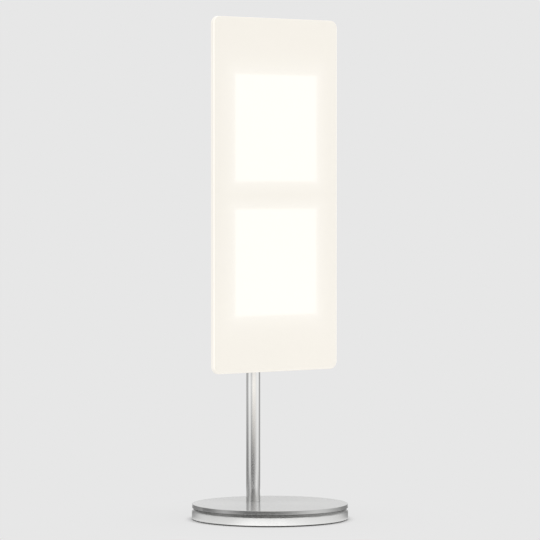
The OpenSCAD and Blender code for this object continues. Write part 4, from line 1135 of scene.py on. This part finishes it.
        # Painted reflections, darker at both sides and bright behind between them; all are bright high up
        for name, ends, side in (("left", self.LEFT, self.LEFT[2:]), ("right", self.RIGHT, self.RIGHT[:4])):
            self.painted_reflection_card(st, f"Card low {name}", ends, [(low, 0, 0), (low, 0.03, 0)])
            self.painted_reflection_card(st, f"Card side {name}", side, [(low, 0.03, 0), (low, 0.08, 1)])
        wall = [(far, 0.03, 0), (far, 0.16, 0), (far, 0.45, 1), (far, 1.0, 1)]
        self.painted_reflection_card(st, "Card left", ((-150, 0.5, 1.2, 0), (-98, 0.6, 1.2, 0)), wall)
        self.painted_reflection_card(st, "Card right", ((113, 0.5, 1.2, 0), (150, 0.45, 1.2, 0)), wall)
        self.painted_reflection_card(st, "Card rear", self.REAR, wall)
        # A bright painted reflection overhead, which puts highlights on the upper arrises of the metal
        self.painted_reflection_card(st, "Card overhead", ((-180, 1.9, 0, 0), (180, 1.9, 0, 0)), [(0.02, 1.3, 0), (0.9, 1.3, 0)])
        # The painted floor reflection round the base: the side tones mirrored to the left, the front ones between
        # them
        mirrored = [(-turn, *tones) for turn, *tones in reversed(self.PAINTED_FLOOR_SIDE)]
        ring = [(*tones, 0) for tones in (*mirrored, *self.PAINTED_FLOOR_FRONT, *self.PAINTED_FLOOR_SIDE)]
        lift = 0.1 * MM  # keeps the card clear of the floor
        self.painted_reflection_card(st, "Card floor", ring, [(0.0675, lift, 0), (0.12, lift, 1), (near, lift, 1), (0.265, lift, 1)])


class LAMP_PT_sidebar(bpy.types.Panel):
    """Lists the lamp's pieces and settings"""

    bl_idname = "LAMP_PT_sidebar"
    bl_label = "Light panel lamp"
    bl_space_type = "VIEW_3D"
    bl_region_type = "UI"
    bl_category = "Lamp"

    def draw(self, context):
        for title, group_of in (("Sizes", "lamp_sizes"), ("Finishes", "lamp_finishes"), ("Studio", "lamp_studio")):
            box = self.layout.box()
            box.label(text=title)
            settings = getattr(context.scene, group_of)
            for name in settings.__annotations__:
                box.prop(settings, name)
        for operator in OPERATORS:
            self.layout.operator(operator.bl_idname)


GROUPS = {"lamp_sizes": LampSizes, "lamp_finishes": LampFinishes, "lamp_studio": StudioSettings}
OPERATORS = (
    LAMP_OT_studio,
    LAMP_OT_kept_parts,
    LAMP_OT_panel,
    LAMP_OT_base,
    LAMP_OT_stem,
    LAMP_OT_housing,
    LAMP_OT_screws,
    LAMP_OT_button,
)


def register():
    for item in (*GROUPS.values(), *OPERATORS, LAMP_PT_sidebar):
        bpy.utils.register_class(item)
    for name, item in GROUPS.items():
        setattr(bpy.types.Scene, name, PointerProperty(type=item))


def unregister():
    for name in GROUPS:
        delattr(bpy.types.Scene, name)
    for item in (LAMP_PT_sidebar, *reversed(OPERATORS), *reversed(GROUPS.values())):
        bpy.utils.unregister_class(item)


def main():
    """Builds everything in order."""
    register()
    for operator in OPERATORS:
        family, name = operator.bl_idname.split(".")
        getattr(getattr(bpy.ops, family), name)()


if __name__ == "__main__":
    main()
